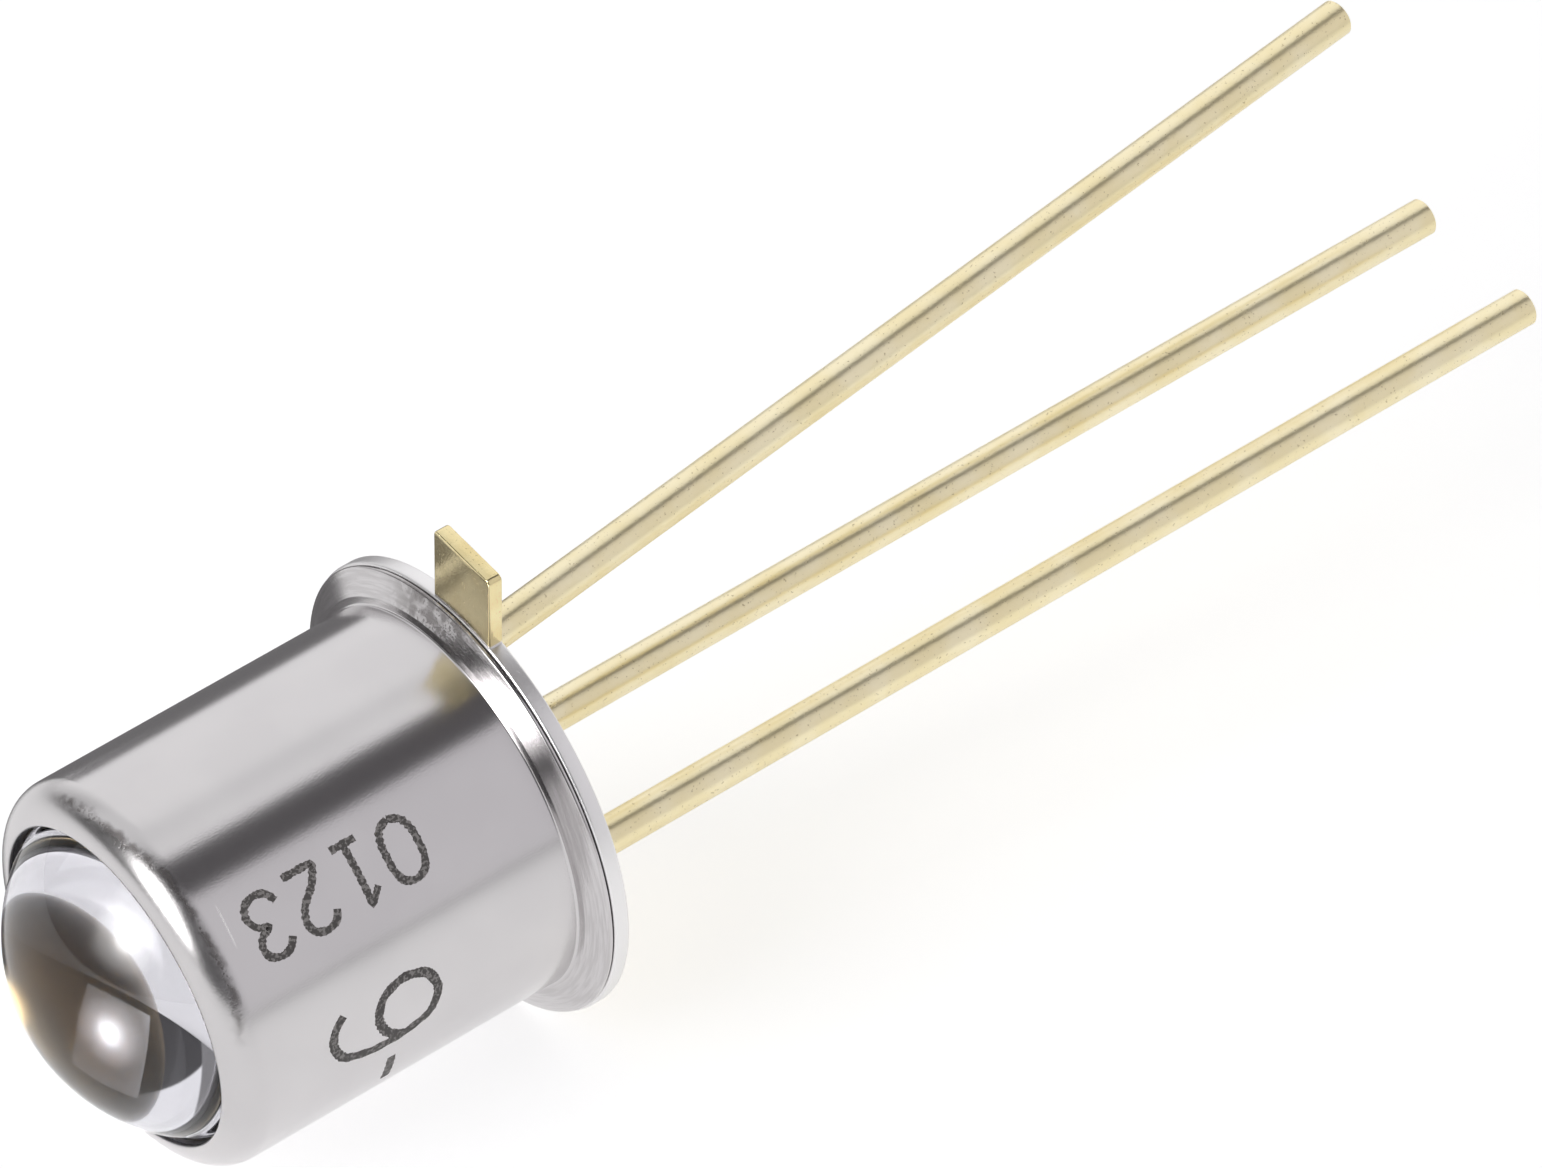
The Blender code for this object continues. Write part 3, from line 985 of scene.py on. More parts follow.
@dataclass
class Can(SubAssembly):
    """The drawn and plated cap with its weld flange."""

    sides: int = 256
    lip_round: float = 0.00003
    neck_fillet: float = 0.00003
    neck_end: float = 262.0
    wall_edges: Span = (0.0002, 0.00015)
    ledge_reach: float = 0.00245
    ledge_height: float = 0.000372
    ledge_fall: float = 0.000012
    ridge_round: float = 0.00004
    ridge_inset: float = 0.00001
    ridge_start: float = 84.0
    slope_turn: float = 62.0
    crown: tuple[Pair, Pair] = ((0.00257, 0.000327), (0.00265, 0.000291))
    slope_height: float = 0.000262
    flange_radius: float = 0.002752
    edge_round: float = 0.00003
    base_height: float = 0.00021
    base_chamfer: float = 0.00001
    inside_end: float = 86.0
    hair: float = 0.000001
    shoulder_steps: int = 28
    inside_steps: int = 12
    ridge_steps: int = 4

    def outline(self) -> Outline:
        """Section of the cap, down its outer side and back up inside.

        Returns:
            Radius and height of each point.
        """
        s = self.sizes
        lip = s.window_radius + self.lip_round
        start = math.degrees(math.acos((lip - s.shoulder_core) / s.shoulder_round))
        core = (s.shoulder_core, s.shoulder_level)
        shoulder = arc(core, s.shoulder_round, start, 0.0, self.shoulder_steps)
        lip_core = (lip, shoulder[0][1] - self.lip_round)
        front = arc(lip_core, self.lip_round, 180.0, 90.0, ROUND_STEPS)[:-1]
        neck_level = self.ledge_height + self.ledge_fall + self.neck_fillet
        neck_core = (s.can_radius + self.neck_fillet, neck_level)
        neck = arc(neck_core, self.neck_fillet, 180.0, self.neck_end, ROUND_STEPS)
        below, above = self.wall_edges
        wall = [(s.can_radius, s.shoulder_level - below), (s.can_radius, neck_level + above)]
        ridge_core = (self.ledge_reach - self.ridge_inset, self.ledge_height - self.ridge_round)
        turns = (self.ridge_start, self.slope_turn)
        ridge = arc(ridge_core, self.ridge_round, *turns, self.ridge_steps)
        edge_core = (self.flange_radius - self.edge_round, self.slope_height - self.edge_round)
        edge = arc(edge_core, self.edge_round, self.slope_turn, 0.0, ROUND_STEPS)
        chamfer = self.base_chamfer
        base = [(self.flange_radius, self.base_height + chamfer)]
        base += [(self.flange_radius - chamfer, self.base_height)]
        base += [(s.inner_radius, self.base_height)]
        inner_round = s.shoulder_round - s.can_wall
        inside = arc(core, inner_round, 0.0, self.inside_end, self.inside_steps)
        window = [(s.window_radius, s.can_height - s.can_wall + self.hair)]
        outside = front + shoulder + wall + neck + ridge + [*self.crown] + edge
        return outside + base + inside + window

    def build(self) -> None:
        """Make the can."""
        mesh = turned_mesh("can_shell", self.outline(), self.sides, ring=True)
        can = make_object("can_shell_satin", mesh)
        self.settle(can, NickelPlate("satin_nickel").build(), Slot.NICKEL, "can_shell")


@dataclass
class Window(SubAssembly):
    """The glass drop that is fused into the can."""

    sides: int = 256
    drop_height: float = 0.00375
    drop_radius: float = 0.00225
    drop_edge: float = 40.0
    wetting_radius: float = 0.0009
    wetting_steps: int = 16
    meniscus: float = 0.00001
    meniscus_fall: float = 0.4
    dome_steps: int = 72
    skirt_steps: int = 12
    drop_steps: int = 48

    def outline(self) -> Outline:
        """Section of the glass; its skirt reaches just into the metal that it wets.

        Returns:
            Radius and height of each point.
        """
        s = self.sizes
        collar = s.window_radius + FUSED
        rim = math.degrees(math.acos((collar - self.meniscus) / s.lens_radius))
        dome = arc((0.0, s.lens_centre), s.lens_radius, 90.0, rim, self.dome_steps)
        dome[0] = (0.0, dome[0][1])
        foot = dome[-1][1]
        wet = [(collar, foot - self.meniscus_fall * self.meniscus)]
        wet += [(collar, s.can_height - s.can_wall)]
        core = (s.shoulder_core, s.shoulder_level)
        inner_round = s.shoulder_round - s.can_wall + FUSED
        start = math.degrees(math.acos((collar + self.meniscus - core[0]) / inner_round))
        skirt = arc(core, inner_round, start, 0.0, self.skirt_steps)
        centre = (0.0, self.drop_height + self.drop_radius)
        drop = arc(centre, self.drop_radius, self.drop_edge - 90.0, -90.0, self.drop_steps)
        drop[-1] = (0.0, drop[-1][1])
        return dome + wet + skirt + self.wetting(drop[0]) + drop

    def wetting(self, edge: Pair) -> Outline:
        """The hollow curve in which the drop creeps up the can's wall.

        Args:
            edge: Radius and height where the curve leaves the drop.

        Returns:
            Points from the wall to just before the drop.
        """
        wall = self.sizes.inner_radius + FUSED
        steep = math.radians(self.drop_edge)
        flat = math.asin(math.sin(steep) - (wall - edge[0]) / self.wetting_radius)
        curve = []
        for i in range(self.wetting_steps):
            slope = flat + (steep - flat) * i / self.wetting_steps
            radius = edge[0] + self.wetting_radius * (math.sin(steep) - math.sin(slope))
            height = edge[1] + self.wetting_radius * (math.cos(slope) - math.cos(steep))
            curve.append((radius, height))
        return curve

    def build(self) -> None:
        """Make the window."""
        mesh = turned_mesh("glass_lens", self.outline(), self.sides, ring=False)
        lens = make_object("glass_window", mesh)
        self.settle(lens, WindowGlass("window_glass").build(), Slot.WINDOW, "glass_lens")


# -------- Header, leads and seals --------


@dataclass
class Header(SubAssembly):
    """The gold-plated header with its tab."""

    sides: int = 192
    edge_round: float = 0.000035
    pedestal_clearance: float = 0.00007
    pedestal_round: float = 0.0001
    pedestal_steps: int = 8
    underside_radius: float = 0.00212
    tab_reach: float = 0.0038
    tab_width: float = 0.001
    tab_thickness: float = 0.00018
    tab_round: float = 0.00008
    tab_edge: float = 0.00002
    tab_overlap: float = 0.0003
    bore_turn: float = 0.013

    def outline(self) -> Outline:
        """Section of the header, from the middle of its top down to the middle of its underside.

        Returns:
            Radius and height of each point.
        """
        s = self.sizes
        pedestal = s.inner_radius - self.pedestal_clearance
        corner = (pedestal - self.pedestal_round, s.pedestal_top - self.pedestal_round)
        top = arc(corner, self.pedestal_round, 90.0, 0.0, self.pedestal_steps)
        core = s.rim_radius - self.edge_round
        edge = self.edge_round
        upper = arc((core, s.header_flange - edge), edge, 90.0, 0.0, ROUND_STEPS)
        lower = arc((core, edge), edge, 0.0, -90.0, ROUND_STEPS)
        depth = s.underside_depth
        hollow = [(self.underside_radius, 0.0), (self.underside_radius - depth, depth)]
        foot = [(pedestal, s.header_flange)]
        return [(0.0, s.pedestal_top)] + top + foot + upper + lower + hollow + [(0.0, depth)]

    def tab_form(self) -> bpy.types.Object:
        """The tab as a block that overlaps the disc.

        Returns:
            The block.
        """
        length = self.tab_reach - self.sizes.rim_radius + self.tab_overlap
        size = Vector((length, self.tab_width, self.tab_thickness))
        centre = Vector((self.tab_reach - 0.5 * length, 0.0, 0.5 * self.sizes.header_flange))
        mesh = softened_block("tab_form", size, centre, self.tab_round, self.tab_edge)
        return linked("tab_form", mesh)

    def bore(self, angle: float) -> bpy.types.Object:
        """The hole of one insulated lead, as a round bar.

        Args:
            angle: The lead's angle in degrees.

        Returns:
            The bar.
        """
        reach = 2.0 * self.sizes.pedestal_top
        radius = self.sizes.seal_radius - FUSED
        bar = [(0.0, reach), (radius, reach), (radius, -reach), (0.0, -reach)]
        cutter = linked("bore", turned_mesh("bore", bar, self.sizes.bead_sides, ring=False))
        cutter.location = around(self.sizes.lead_circle, angle, 0.0)
        cutter.rotation_euler.z = self.bore_turn
        return cutter

    def build(self) -> None:
        """Make the header: the turned disc, joined with its tab and bored for the two seals."""
        mesh = turned_mesh("header", self.outline(), self.sides, ring=False)
        disc = linked("header_disc", mesh)
        tools = [(self.tab_form(), "UNION")]
        insulated = (self.sizes.emitter_angle, self.sizes.base_angle)
        tools += [(self.bore(angle), "DIFFERENCE") for angle in insulated]
        for tool, operation in tools:
            boolean = disc.modifiers.new(operation, "BOOLEAN")
            boolean.operation, boolean.object, boolean.solver = operation, tool, "EXACT"
        bpy.context.view_layer.update()
        graph = bpy.context.evaluated_depsgraph_get()
        whole = bpy.data.meshes.new_from_object(disc.evaluated_get(graph))
        for tool in [disc] + [tool for tool, _ in tools]:
            bpy.data.objects.remove(tool, do_unlink=True)
        gold = GoldPlate("header_gold", smooth=0.13, rough=0.2, welded_rim=True).build()
        self.settle(make_object("header_gold_disc", whole), gold, Slot.GOLD, "header")


@dataclass
class Leads(SubAssembly):
    """Three gold-plated wires; the one beside the tab leans outwards."""

    sides: int = 48
    post_height: float = 0.00035
    start_below: float = 0.00002
    splay: float = 6.6
    splay_towards: float = 81.5
    bend_start: float = 0.0001
    bend_radius: float = 0.003
    end_chamfer: float = 0.00002
    bends: int = 10

    def path(self, angle: float, top: float, splay: float) -> list[Vector]:
        """Centre line of a lead, from its top to its tip.

        Args:
            angle: Where it stands round the axis, in degrees.
            top: Height of its upper end.
            splay: How far it leans, in degrees.

        Returns:
            Points along the line.
        """
        s = self.sizes
        start = around(s.lead_circle, angle, top)
        if splay == 0.0:
            return [start, around(s.lead_circle, angle, -s.lead_length)]
        side = around(1.0, self.splay_towards, 0.0)
        down = Vector((0.0, 0.0, -1.0))
        points = [start, around(s.lead_circle, angle, -self.bend_start)]
        whole = math.radians(splay)
        piece = whole * self.bend_radius / self.bends
        runs = [(whole * (i + 0.5) / self.bends, piece) for i in range(self.bends)]
        runs.append((whole, s.lead_length - self.bend_start - piece * self.bends))
        for lean, run in runs:
            points.append(points[-1] + (down * math.cos(lean) + side * math.sin(lean)) * run)
        return points

    def rounded(self, path: list[Vector]) -> tuple[list[Vector], list[float]]:
        """The path with a small chamfer at both of its ends.

        Args:
            path: The plain centre line.

        Returns:
            The longer path, and the radius at each of its points.
        """
        full, edge = self.sizes.lead_radius, self.end_chamfer
        small = full - edge
        first = (path[1] - path[0]).normalized() * edge
        last = (path[-2] - path[-1]).normalized() * edge
        points = [path[0], path[0] + first] + path[1:-1] + [path[-1] + last, path[-1]]
        return points, [small] + [full] * (len(points) - 2) + [small]

    def build(self) -> None:
        """Make the three leads."""
        s = self.sizes
        top = s.pedestal_top + self.post_height
        pale = {"bright": (0.95, 0.86, 0.60), "dim": (0.91, 0.80, 0.50)}
        grainy = {"smooth": 0.25, "rough": 0.4, "cover": 0.35, "relief": 1.8e-6}
        gold = GoldPlate("lead_gold", **pale, **grainy).build()
        for name, angle, start, splay in (
            ("emitter_lead", s.emitter_angle, top, self.splay),
            ("base_lead", s.base_angle, top, 0.0),
            ("collector_lead", s.collector_angle, self.start_below, 0.0),
        ):
            points, radii = self.rounded(self.path(angle, start, splay))
            lead = make_object(f"{name}_wire", swept_mesh(name, points, radii, self.sides))
            self.settle(lead, gold, Slot.LEAD, name)


@dataclass
class Seals(SubAssembly):
    """Glass beads round the insulated leads, and the braze of the grounded one."""

    dish: float = 0.00006
    dish_power: float = 0.8
    steps: int = 10
    braze_radius: float = 0.00042
    braze_height: float = 0.00022
    braze_foot: float = 0.000002
    braze_steps: int = 8

    def bead_outline(self) -> Outline:
        """Section of a bead, dished where the glass wets both metals.

        Returns:
            Radius and height of each point.
        """
        s = self.sizes
        inner = s.lead_radius - FUSED
        width = s.seal_radius - inner
        top, bottom = [], []
        for i in range(self.steps + 1):
            share = i / self.steps
            sag = self.dish * math.sin(math.pi * share) ** self.dish_power
            top.append((inner + width * share, s.pedestal_top - sag))
            bottom.append((inner + width * share, s.underside_depth + sag))
        return top + list(reversed(bottom))

    def braze_outline(self) -> Outline:
        """Section of the braze that runs up the lead in a hollow curve.

        Returns:
            Radius and height of each point.
        """
        inner = self.sizes.lead_radius - FUSED
        top, width = self.sizes.underside_depth, self.braze_radius - inner
        tip = top - self.braze_height
        curve = []
        for i in range(self.braze_steps):
            turn = 0.5 * math.pi * i / self.braze_steps
            fall = self.braze_height * (1.0 - math.cos(turn))
            curve.append((self.braze_radius - width * math.sin(turn), top - fall))
        return [(inner, top)] + curve + [(inner + self.braze_foot, tip), (inner, tip)]

    def build(self) -> None:
        """Make the two beads and the braze."""
        s = self.sizes
        glass = SealGlass("seal_glass").build()
        dull = {"bright": (0.8, 0.68, 0.4), "smooth": 0.3, "rough": 0.45, "relief": 4.0e-6}
        braze = GoldPlate("braze_gold", **dull).build()
        for name, angle, outline, material, slot in (
            ("emitter_seal", s.emitter_angle, self.bead_outline(), glass, Slot.SEAL),
            ("base_seal", s.base_angle, self.bead_outline(), glass, Slot.SEAL),
            ("collector_braze", s.collector_angle, self.braze_outline(), braze, Slot.GOLD),
        ):
            mesh = turned_mesh(name, outline, s.bead_sides, ring=True)
            mesh.transform(Matrix.Translation(around(s.lead_circle, angle, 0.0)))
            self.settle(make_object(f"{name}_fused", mesh), material, slot, name)


# -------- Chip --------


@dataclass
class Chip(SubAssembly):
    """The sensitive chip on its solder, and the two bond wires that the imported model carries."""

    side: float = 0.0008
    thickness: float = 0.00022
    solder_thickness: float = 0.00003
    pad_inset: float = 0.0001
    edge: float = 0.000004

    def build(self) -> None:
        """Make the chip and dress its solder and bond wires."""
        s = self.sizes
        top = s.pedestal_top + self.solder_thickness + self.thickness + 2.0 * s.seat_gap
        size = Vector((self.side, self.side, self.thickness))
        centre = Vector((0.0, 0.0, top - 0.5 * self.thickness))
        mesh = softened_block("sensor_chip", size, centre, 0.0, self.edge)
        reach = (0.5 * self.side - self.pad_inset) * math.sqrt(2.0)
        silicon = Silicon("silicon", top, 0.5 * self.side, reach).build()
        self.settle(make_object("sensor_chip_die", mesh), silicon, Slot.SILICON, "sensor_chip")
        solder = GoldPlate("die_solder", bright=(0.7, 0.6, 0.38), smooth=0.35, rough=0.5).build()
        wire = GoldPlate("bond_gold", bright=(0.9, 0.74, 0.36), smooth=0.15, rough=0.25).build()
        for name, material in (
            ("die_solder", solder),
            ("emitter_bond_wire", wire),
            ("base_bond_wire", wire),
        ):
            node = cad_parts[name]
            node.data.materials.clear()
            node.data.materials.append(material)
            LOG.info("%s: packed node, dressed", name)


# -------- Marking --------


class Numeral(Enum):
    """Plain numerals as strokes in a box one unit high."""

    ZERO = (((0.3, 0.0), (0.1, 0.08), (0.02, 0.3), (0.02, 0.7), (0.1, 0.92), (0.3, 1.0),
             (0.5, 0.92), (0.58, 0.7), (0.58, 0.3), (0.5, 0.08), (0.3, 0.0)),)
    ONE = (((0.1, 0.78), (0.3, 1.0), (0.3, 0.0)), ((0.08, 0.0), (0.52, 0.0)))
    TWO = (((0.03, 0.78), (0.1, 0.94), (0.3, 1.0), (0.5, 0.93), (0.57, 0.74), (0.48, 0.52),
            (0.2, 0.28), (0.03, 0.0), (0.58, 0.0)),)
    THREE = (((0.03, 0.8), (0.12, 0.95), (0.3, 1.0), (0.5, 0.92), (0.55, 0.74), (0.46, 0.58),
              (0.26, 0.52), (0.48, 0.46), (0.58, 0.26), (0.5, 0.07), (0.29, 0.0), (0.1, 0.05),
              (0.02, 0.22)),)
    SIX = (((0.53, 0.86), (0.45, 0.96), (0.3, 1.0), (0.12, 0.91), (0.03, 0.65), (0.02, 0.36),
            (0.09, 0.1), (0.3, 0.0), (0.51, 0.08), (0.58, 0.3), (0.5, 0.51), (0.31, 0.58),
            (0.13, 0.51), (0.03, 0.36)),)
    STROKE = (((0.0, 0.0), (0.0, 1.0)),)


@dataclass(frozen=True)
class Placed:
    """A numeral and where it stands on the can."""

    numeral: Numeral
    along: float
    angle: float
    tall: float
    sideways: bool = False
    weight: float = 1.0


@dataclass
class Marking(SubAssembly):
    """Plain numerals marked on the can's side, as thin inlaid strokes."""

    small: float = 0.00074
    stroke: float = 0.000088
    proud: float = 0.000002
    buried: float = 0.000006
    step: float = 0.00002
    wander: float = 0.00001
    smoothing: float = 9.0
    straight: int = 4
    box_width: float = 0.6

    def rows(self) -> tuple[Placed, ...]:
        """A row of small numerals, and a large one on its side with a stroke beside it.

        Returns:
            Every numeral in its place.
        """
        row = ((Numeral.ZERO, 0.00193), (Numeral.ONE, 0.00252), (Numeral.TWO, 0.00312))
        row += ((Numeral.THREE, 0.00372),)
        large = Placed(Numeral.SIX, 0.00225, -72.0, 0.00145, sideways=True, weight=1.3)
        beside = Placed(Numeral.STROKE, 0.0029, -100.5, 0.0005, weight=1.3)
        return (*(Placed(numeral, at, -32.0, self.small) for numeral, at in row), large, beside)

    def strokes(self, placed: Placed) -> list[Outline]:
        """Lay a numeral out on the unrolled can.

        Args:
            placed: The numeral and its place.

        Returns:
            For each stroke, points as height and distance round the can, in metres.
        """
        start = math.radians(placed.angle) * self.sizes.can_radius
        laid = []
        for stroke in placed.numeral.value:
            points = []
            for x, y in stroke:
                x, y = x * placed.tall, y * placed.tall
                if placed.sideways:
                    points.append((placed.along + y, start - (self.box_width * placed.tall - x)))
                else:
                    points.append((placed.along + x, start - y))
            laid.append(points)
        return laid

    def finely(self, points: Outline, rounds: int) -> list[Vector]:
        """A stroke with evenly spaced points and rounded turns.

        Args:
            points: Corners of the stroke.
            rounds: How often its turns are smoothed.

        Returns:
            Points about one step apart.
        """
        dense = []
        for (x0, y0), (x1, y1) in zip(points, points[1:]):
            run, rise = x1 - x0, y1 - y0
            count = max(1, round(math.hypot(run, rise) / self.step))
            dense += [Vector((x0 + run * i / count, y0 + rise * i / count)) for i in range(count)]
        dense.append(Vector(points[-1]))
        for _ in range(rounds):
            inner = [(a + 2.0 * b + c) / 4.0 for a, b, c in zip(dense, dense[1:], dense[2:])]
            dense = [dense[0]] + inner + [dense[-1]]
        return dense

    def slab(self, form: bmesh.types.BMesh, points: list[Vector], weight: float) -> None:
        """Add one stroke as a thin closed slab that follows the can.

        Args:
            form: The edit mesh to add to.
            points: The stroke's centre line on the unrolled can.
            weight: How many times the plain stroke's width it is.
        """
        width = 0.5 * weight * self.stroke
        loops = []
        for i, point in enumerate(points):
            along = (points[min(i + 1, len(points) - 1)] - points[max(i - 1, 0)]).normalized()
            across = Vector((-along.y, along.x))
            half = width + self.wander * math.sin(1.7 * i) * math.cos(0.6 * i + point.x * 9e4)
            top, bottom = self.proud, -self.buried
            corners = []
            for side, level in ((-half, top), (half, top), (half, bottom), (-half, bottom)):
                height, turn = point + across * side
                radius = self.sizes.can_radius + level
                angle = math.degrees(turn / self.sizes.can_radius)
                corners.append(form.verts.new(around(radius, angle, height)))
            loops.append(corners)
        skin(form, loops)

    def build(self) -> None:
        """Make the marking as one piece."""
        form = bmesh.new()
        for placed in self.rows():
            rounds = round(self.smoothing * (placed.tall / self.small) ** 2)
            for points in self.strokes(placed):
                smooth = 1 if len(points) < self.straight else rounds
                self.slab(form, self.finely(points, smooth), placed.weight)
        marks = make_object("plain_numerals", finished("numerals", form))
        self.settle(marks, BlackenedMark("blackened_mark").build(), None)


# -------- Studio --------


@dataclass
class Studio:
    """Camera, floor, lamps, tent and the dark flags that shape a polished can."""

    azimuth: float = -37.6305
    elevation: float = 37.9584
    roll: float = 0.0868
    distance: float = 0.14
    aim: Point = (-0.00091588, -0.00092169, 0.00448492)
    focal: float = 297.2
    sensor: float = 36.0
    clip: Span = (0.001, 10.0)
    floor_size: float = 1.6
    floor_rough: float = 0.9
    paper_scale: float = 300.0
    paper: tuple[Colour, Colour] = ((0.85, 0.85, 0.855), (0.88, 0.88, 0.885))
    pool_reach: Span = (0.005, 0.06)
    pool_glow: Span = (0.62, 0.32)
    pool_through: float = 0.7
    pool_camera: float = 0.66
    ambient: float = 0.38
    front: Span = (-0.75, 0.4)
    front_dim: float = 0.1
    near_side: Span = (-0.25, 0.1)
    far_side: Span = (0.05, 0.35)
    panel_edge: Span = (-0.02, 0.02)
    lamp_way: Pair = (-179.5, 29.5)
    lamp_distance: float = 0.15
    lamp_power: float = 0.105
    lamp_size: Pair = (0.106, 0.137)
    sheet_size: Pair = (0.112, 0.143)
    sheet_glow: float = 2.5
    bulb_way: Pair = (-177.0, 24.0)
    sheet_soft: Span = (0.5, 0.5)
    sheet_crisp: float = 0.06
    bulb_nearer: float = 0.9
    bulb_step: float = 0.01
    bulb_rings: tuple[tuple[float, float, float], ...] = (
        (0.105, 9.5, 0.4), (0.056, 12.0, 0.5), (0.038, 12.0, 1.0)
    )
    bulb_core: float = 0.1
    overhead_place: Point = (0.05, -0.0186, 0.1)
    corner_place: Point = (-0.0092, 0.0036, 0.0003)
    corner_turn: float = -24.6
    low_place: Point = (0.0033, 0.0316, 0.0)
    wall_place: Point = (0.008, 0.064, 0.0037)
    panel_top: Colour = (0.811, 0.389, 0.438)
    panel_right: Colour = (0.718, 0.511, -0.472)
    near_tone: Colour = (0.79, 0.775, 0.80)
    far_tone: Colour = (1.065, 1.06, 1.07)
    panel_tone: Colour = (0.86, 0.86, 0.87)
    gap_tone: Colour = (0.035, 0.033, 0.038)
    shade_tone: Colour = (0.21, 0.207, 0.212)
    overhead_tone: Colour = (0.11, 0.105, 0.11)
    flag_tone: Colour = (0.18, 0.175, 0.18)

    def camera(self) -> None:
        """Place the camera where the photograph was taken from."""
        data = bpy.data.cameras.new("camera")
        data.lens, data.sensor_width = self.focal, self.sensor
        data.clip_start, data.clip_end = self.clip
        camera = linked("camera", data)
        a, e = math.radians(self.azimuth), math.radians(self.elevation)
        back = Vector((math.sin(a) * math.cos(e), -math.cos(a) * math.cos(e), math.sin(e)))
        turn = (-back).to_track_quat("-Z", "Y").to_matrix().to_4x4()
        roll = Matrix.Rotation(math.radians(self.roll), 4, "Z")
        place = Matrix.Translation(Vector(self.aim) + back * self.distance)
        camera.matrix_world = place @ turn @ roll
        bpy.context.scene.camera = camera
        LOG.info("camera at %s", tuple(round(x, 4) for x in camera.location))

    def beyond(self, graph: Graph, way: Value, edge: Colour) -> Value:
        """1 on the far side of a panel's straight edge, whose square direction is given."""
        lean = graph.outputs("VectorMath", {0: way, 1: edge}, operation="DOT_PRODUCT")
        return lean["Value"].step(*self.panel_edge)

    def tent(self) -> None:
        """The white tent: open and dim in front, lilac on the near side, a bright panel above."""
        world = bpy.data.worlds.new("tent")
        bpy.context.scene.world = world
        world.use_nodes = True
        graph = Graph(world.node_tree)
        graph.tree.nodes.clear()
        way = graph.outputs("TexCoord")["Generated"]
        x, y, _ = graph.axes(way)
        tone = graph.mix(y.step(*self.near_side), self.near_tone, self.far_tone)
        tone = graph.mix(x.step(*self.front).spread(self.front_dim, 1.0), BLACK, tone)
        over, right = (self.beyond(graph, way, edge) for edge in (self.panel_top, self.panel_right))
        far, through = y.step(*self.far_side), graph.ray("Transmission")
        left = far * (1.0 - right)
        for mask, colour in (
            (left * over, self.panel_tone),
            (left * (1.0 - over) * through, self.gap_tone),
            (far * right * through, self.shade_tone),
            (graph.ray("Camera"), WHITE),
        ):
            tone = graph.mix(mask, tone, colour)
        strength = graph.seen_directly().spread(self.ambient, 1.0)
        sky = graph.outputs("Background", {"Color": tone, "Strength": strength})
        graph.add("ShaderNodeOutputWorld", {"Surface": sky["Background"]})

    def card(self, name: str, size: Pair, place: Matrix) -> bpy.types.Object:
        """A flat staged card.

        Args:
            name: Its name.
            size: Its two sides.
            place: Where it lies; it faces its own z.

        Returns:
            The card.
        """
        form = bmesh.new()
        bmesh.ops.create_grid(form, x_segments=1, y_segments=1, size=0.5)
        bmesh.ops.scale(form, vec=(*size, 1.0), verts=form.verts)
        card = linked(name, finished(name, form))
        card.matrix_world = place
        return card

    def floor(self) -> None:
        """A pale floor that keeps a faint shadow under its white."""
        material, graph = blank_material("pale_floor")
        paper = graph.noise(graph.place(), self.paper_scale, 3.0)
        pool = graph.distance().step(*self.pool_reach).spread(*self.pool_glow)
        pool = pool * graph.ray("Transmission").spread(1.0, self.pool_through)
        pool = pool | graph.ray("Camera") * self.pool_camera
        look = {
            "Base Color": graph.mix(paper, *self.paper),
            "Roughness": self.floor_rough,
            "Specular IOR Level": 0.0,
            "Emission Color": WHITE,
            "Emission Strength": graph.seen_directly() * pool,
        }
        shader = material.node_tree.nodes["Principled BSDF"]
        for key, value in look.items():
            graph.feed(shader.inputs[key], value)
        floor = self.card("floor", (self.floor_size, self.floor_size), Matrix.Identity(4))
        floor.data.materials.append(material)

    def hang(
        self, name: str, size: Pair, place: Matrix, material: bpy.types.Material
    ) -> None:
        """Hang a dressed card that only mirrors and glass see, so that it lights and dims nothing.

        Args:
            name: Its name.
            size: Its two sides.
            place: Where it stands.
            material: What it wears.
        """
        card = self.card(name, size, place)
        card.data.materials.append(material)
        card.visible_camera = False
        card.visible_diffuse = False
        card.visible_shadow = False
        card.visible_volume_scatter = False

    def sheer(self, graph: Graph, light: dict[str, object]) -> tuple[Value, Value]:
        """A shader that lets everything through, and one that glows with the light given."""
        clear = graph.outputs("BsdfTransparent")["BSDF"]
        return clear, graph.outputs("Emission", light)["Emission"]

    def flag(
        self, name: str, size: Pair, place: Matrix, tone: Colour,
        soft: Pair, strength: float = 1.0, crisp: float = 0.0,
    ) -> None:
        """A card of one tone whose ends fade.

        Args:
            name: Its name.
            size: Its two sides.
            place: Where it stands.
            tone: What mirrors see of it.
            soft: The share of each side over which its ends fade.
            strength: How bright it is.
            crisp: If not 0, the share over which they fade for light that went through glass.
        """
        material, graph = blank_material(name)
        graph.tree.nodes.clear()
        reaches = [abs(axis) for axis in graph.axes(graph.place())[:2]]
        shapes = []
        for shares in (soft, (crisp, crisp)) if crisp else (soft,):
            fades = []
            for reach, side, share in zip(reaches, size, shares):
                fades.append(reach.step(0.5 * side, 0.5 * side * (1.0 - share)))
            shapes.append(fades[0] * fades[1])
        shape = shapes[0]
        if crisp:
            through = graph.ray("Transmission")
            shape = shape * (1.0 - through) + shapes[1] * through
        clear, glow = self.sheer(graph, {"Color": tone, "Strength": strength})
        blend = graph.outputs("MixShader", {0: shape, 1: clear, 2: glow})["Shader"]
        graph.add("ShaderNodeOutputMaterial", {"Surface": blend})
        self.hang(name, size, place, material)

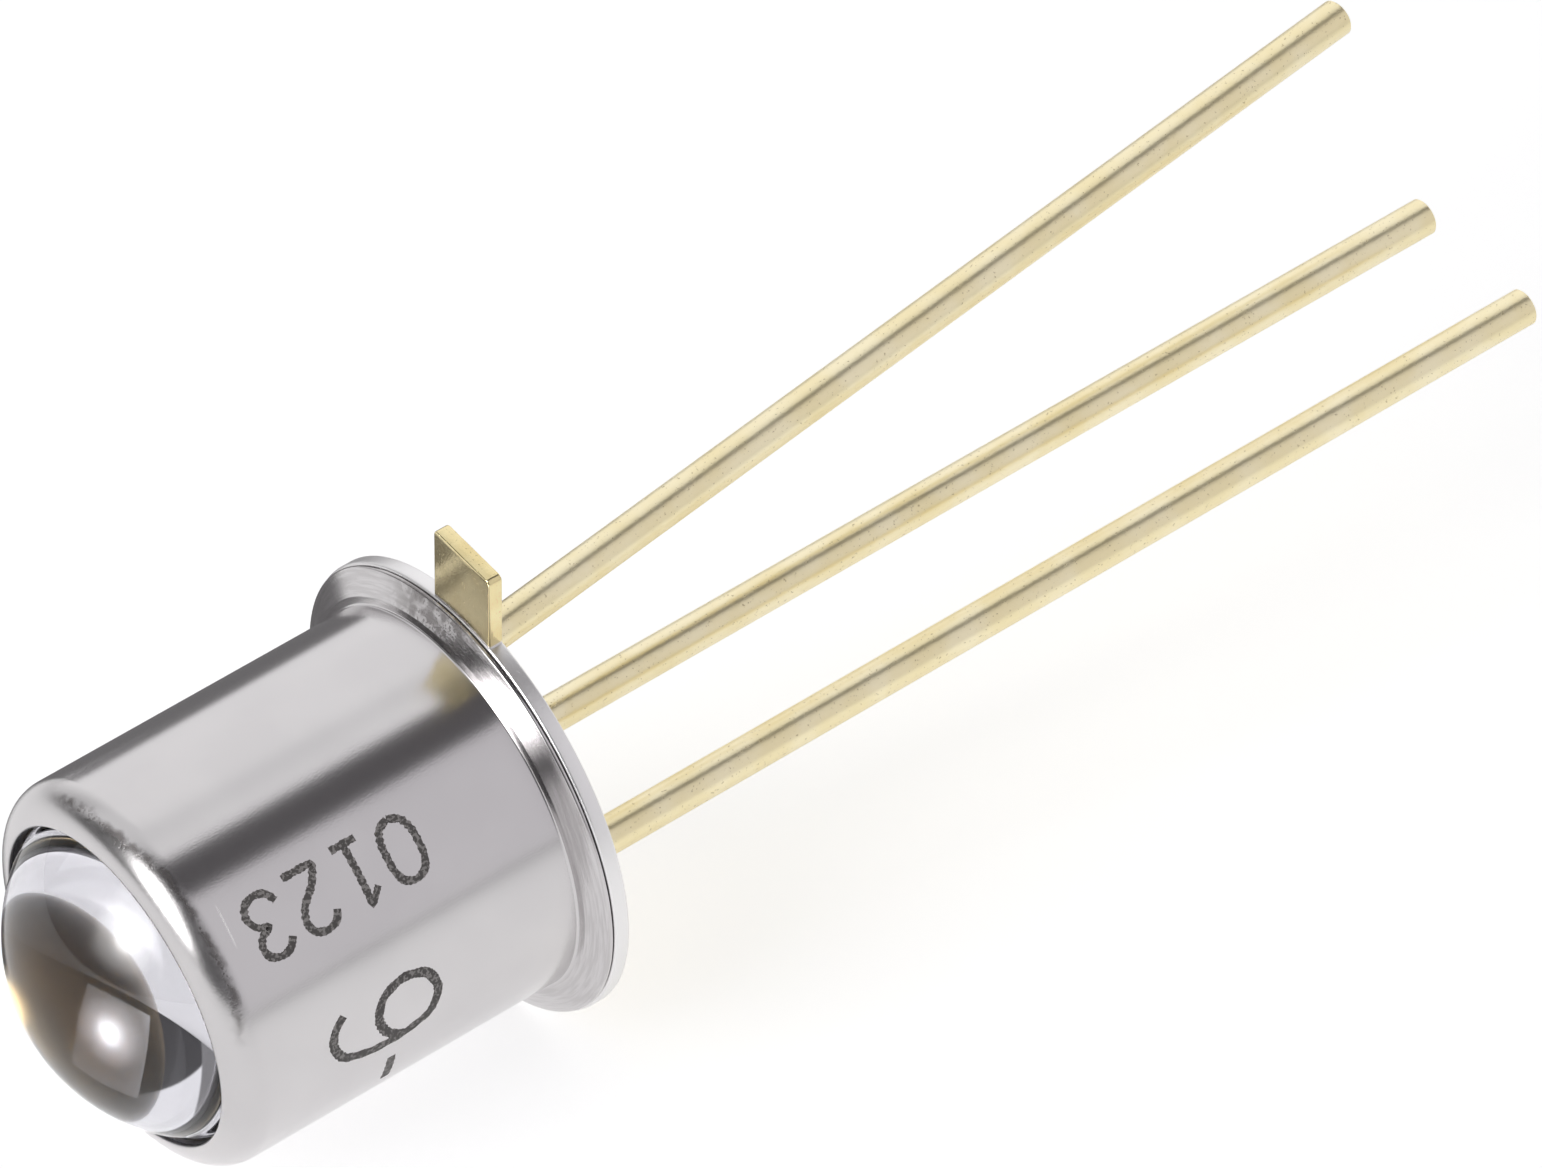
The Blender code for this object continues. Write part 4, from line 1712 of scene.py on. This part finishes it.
    def glare(self, name: str, side: float, place: Matrix, strength: float, outside: float) -> None:
        """A round glow over whatever is behind it.

        Args:
            name: Its name.
            side: How far it reaches across.
            place: Where it stands.
            strength: How bright its middle is.
            outside: The share of it that shows without glass before it.
        """
        material, graph = blank_material(name)
        graph.tree.nodes.clear()
        shape = graph.distance().step(0.5 * side, self.bulb_core * side)
        level = shape * graph.ray("Transmission").spread(outside * strength, strength)
        clear, glow = self.sheer(graph, {"Strength": level})
        both = graph.outputs("AddShader", {0: clear, 1: glow})["Shader"]
        graph.add("ShaderNodeOutputMaterial", {"Surface": both})
        self.hang(name, (side, side), place, material)

    def facing(self, way: Pair, reach: float, axis: str) -> Matrix:
        """Where a thing stands that looks at the part.

        Args:
            way: Its direction from the part, in degrees from +X towards +Y and up.
            reach: How far away it is.
            axis: Which of its axes looks at the part.

        Returns:
            Its place.
        """
        a, e = (math.radians(turn) for turn in way)
        out = Vector((math.cos(a) * math.cos(e), math.sin(a) * math.cos(e), math.sin(e)))
        turn = (-out).to_track_quat(axis, "Y").to_matrix().to_4x4()
        return Matrix.Translation(out * reach) @ turn

    def soft_box(self) -> None:
        """The lamp, and the lit sheet and bare bulb that mirrors and glass see of it."""
        data = bpy.data.lights.new("soft_box", "AREA")
        data.shape, data.energy = "RECTANGLE", self.lamp_power
        data.size, data.size_y = self.lamp_size
        lamp = linked("soft_box", data)
        lamp.matrix_world = self.facing(self.lamp_way, self.lamp_distance, "-Z")
        lamp.visible_glossy = False
        lamp.visible_transmission = False
        sheet = self.facing(self.lamp_way, self.lamp_distance, "Z")
        fades = {"soft": self.sheet_soft, "crisp": self.sheet_crisp}
        self.flag("lit_sheet", self.sheet_size, sheet, WHITE, strength=self.sheet_glow, **fades)
        for i, (side, strength, outside) in enumerate(self.bulb_rings):
            reach = (self.bulb_nearer - self.bulb_step * i) * self.lamp_distance
            bulb = self.facing(self.bulb_way, reach, "Z")
            self.glare(f"bare_lamp_{i}", side, bulb, strength, outside)

    def flags(self) -> None:
        """The dark flags: one overhead, one low at a slant and one upright behind it."""
        overhead = Matrix.Translation(self.overhead_place)
        slant = Matrix.Rotation(math.radians(self.corner_turn), 4, "Z")
        corner = Matrix.Translation(self.corner_place) @ slant
        low = corner @ Matrix.Translation(self.low_place)
        upright = Matrix.Rotation(math.radians(90.0), 4, "X")
        wall = corner @ Matrix.Translation(self.wall_place) @ upright
        for name, size, place, tone, soft in (
            ("overhead_flag", (0.21, 0.0488), overhead, self.overhead_tone, (0.12, 0.33)),
            ("low_flag", (0.0082, 0.0648), low, self.flag_tone, (0.15, 0.02)),
            ("far_flag", (0.024, 0.0145), wall, self.flag_tone, (0.02, 0.48)),
        ):
            self.flag(name, size, place, tone, soft)

    def build(self) -> None:
        """Set up everything round the part."""
        bpy.context.scene.view_settings.view_transform = "Standard"
        self.camera()
        self.tent()
        self.floor()
        self.soft_box()
        self.flags()
        LOG.info("studio is set")


def main() -> None:
    """Build the studio and every piece."""
    logging.basicConfig(level=logging.INFO, format="%(name)s: %(message)s")
    Studio().build()
    sizes = Proportions()
    for kind in (Can, Window, Header, Leads, Seals, Chip, Marking):
        kind(sizes).build()
    bpy.context.view_layer.update()


if __name__ == "__main__":
    main()
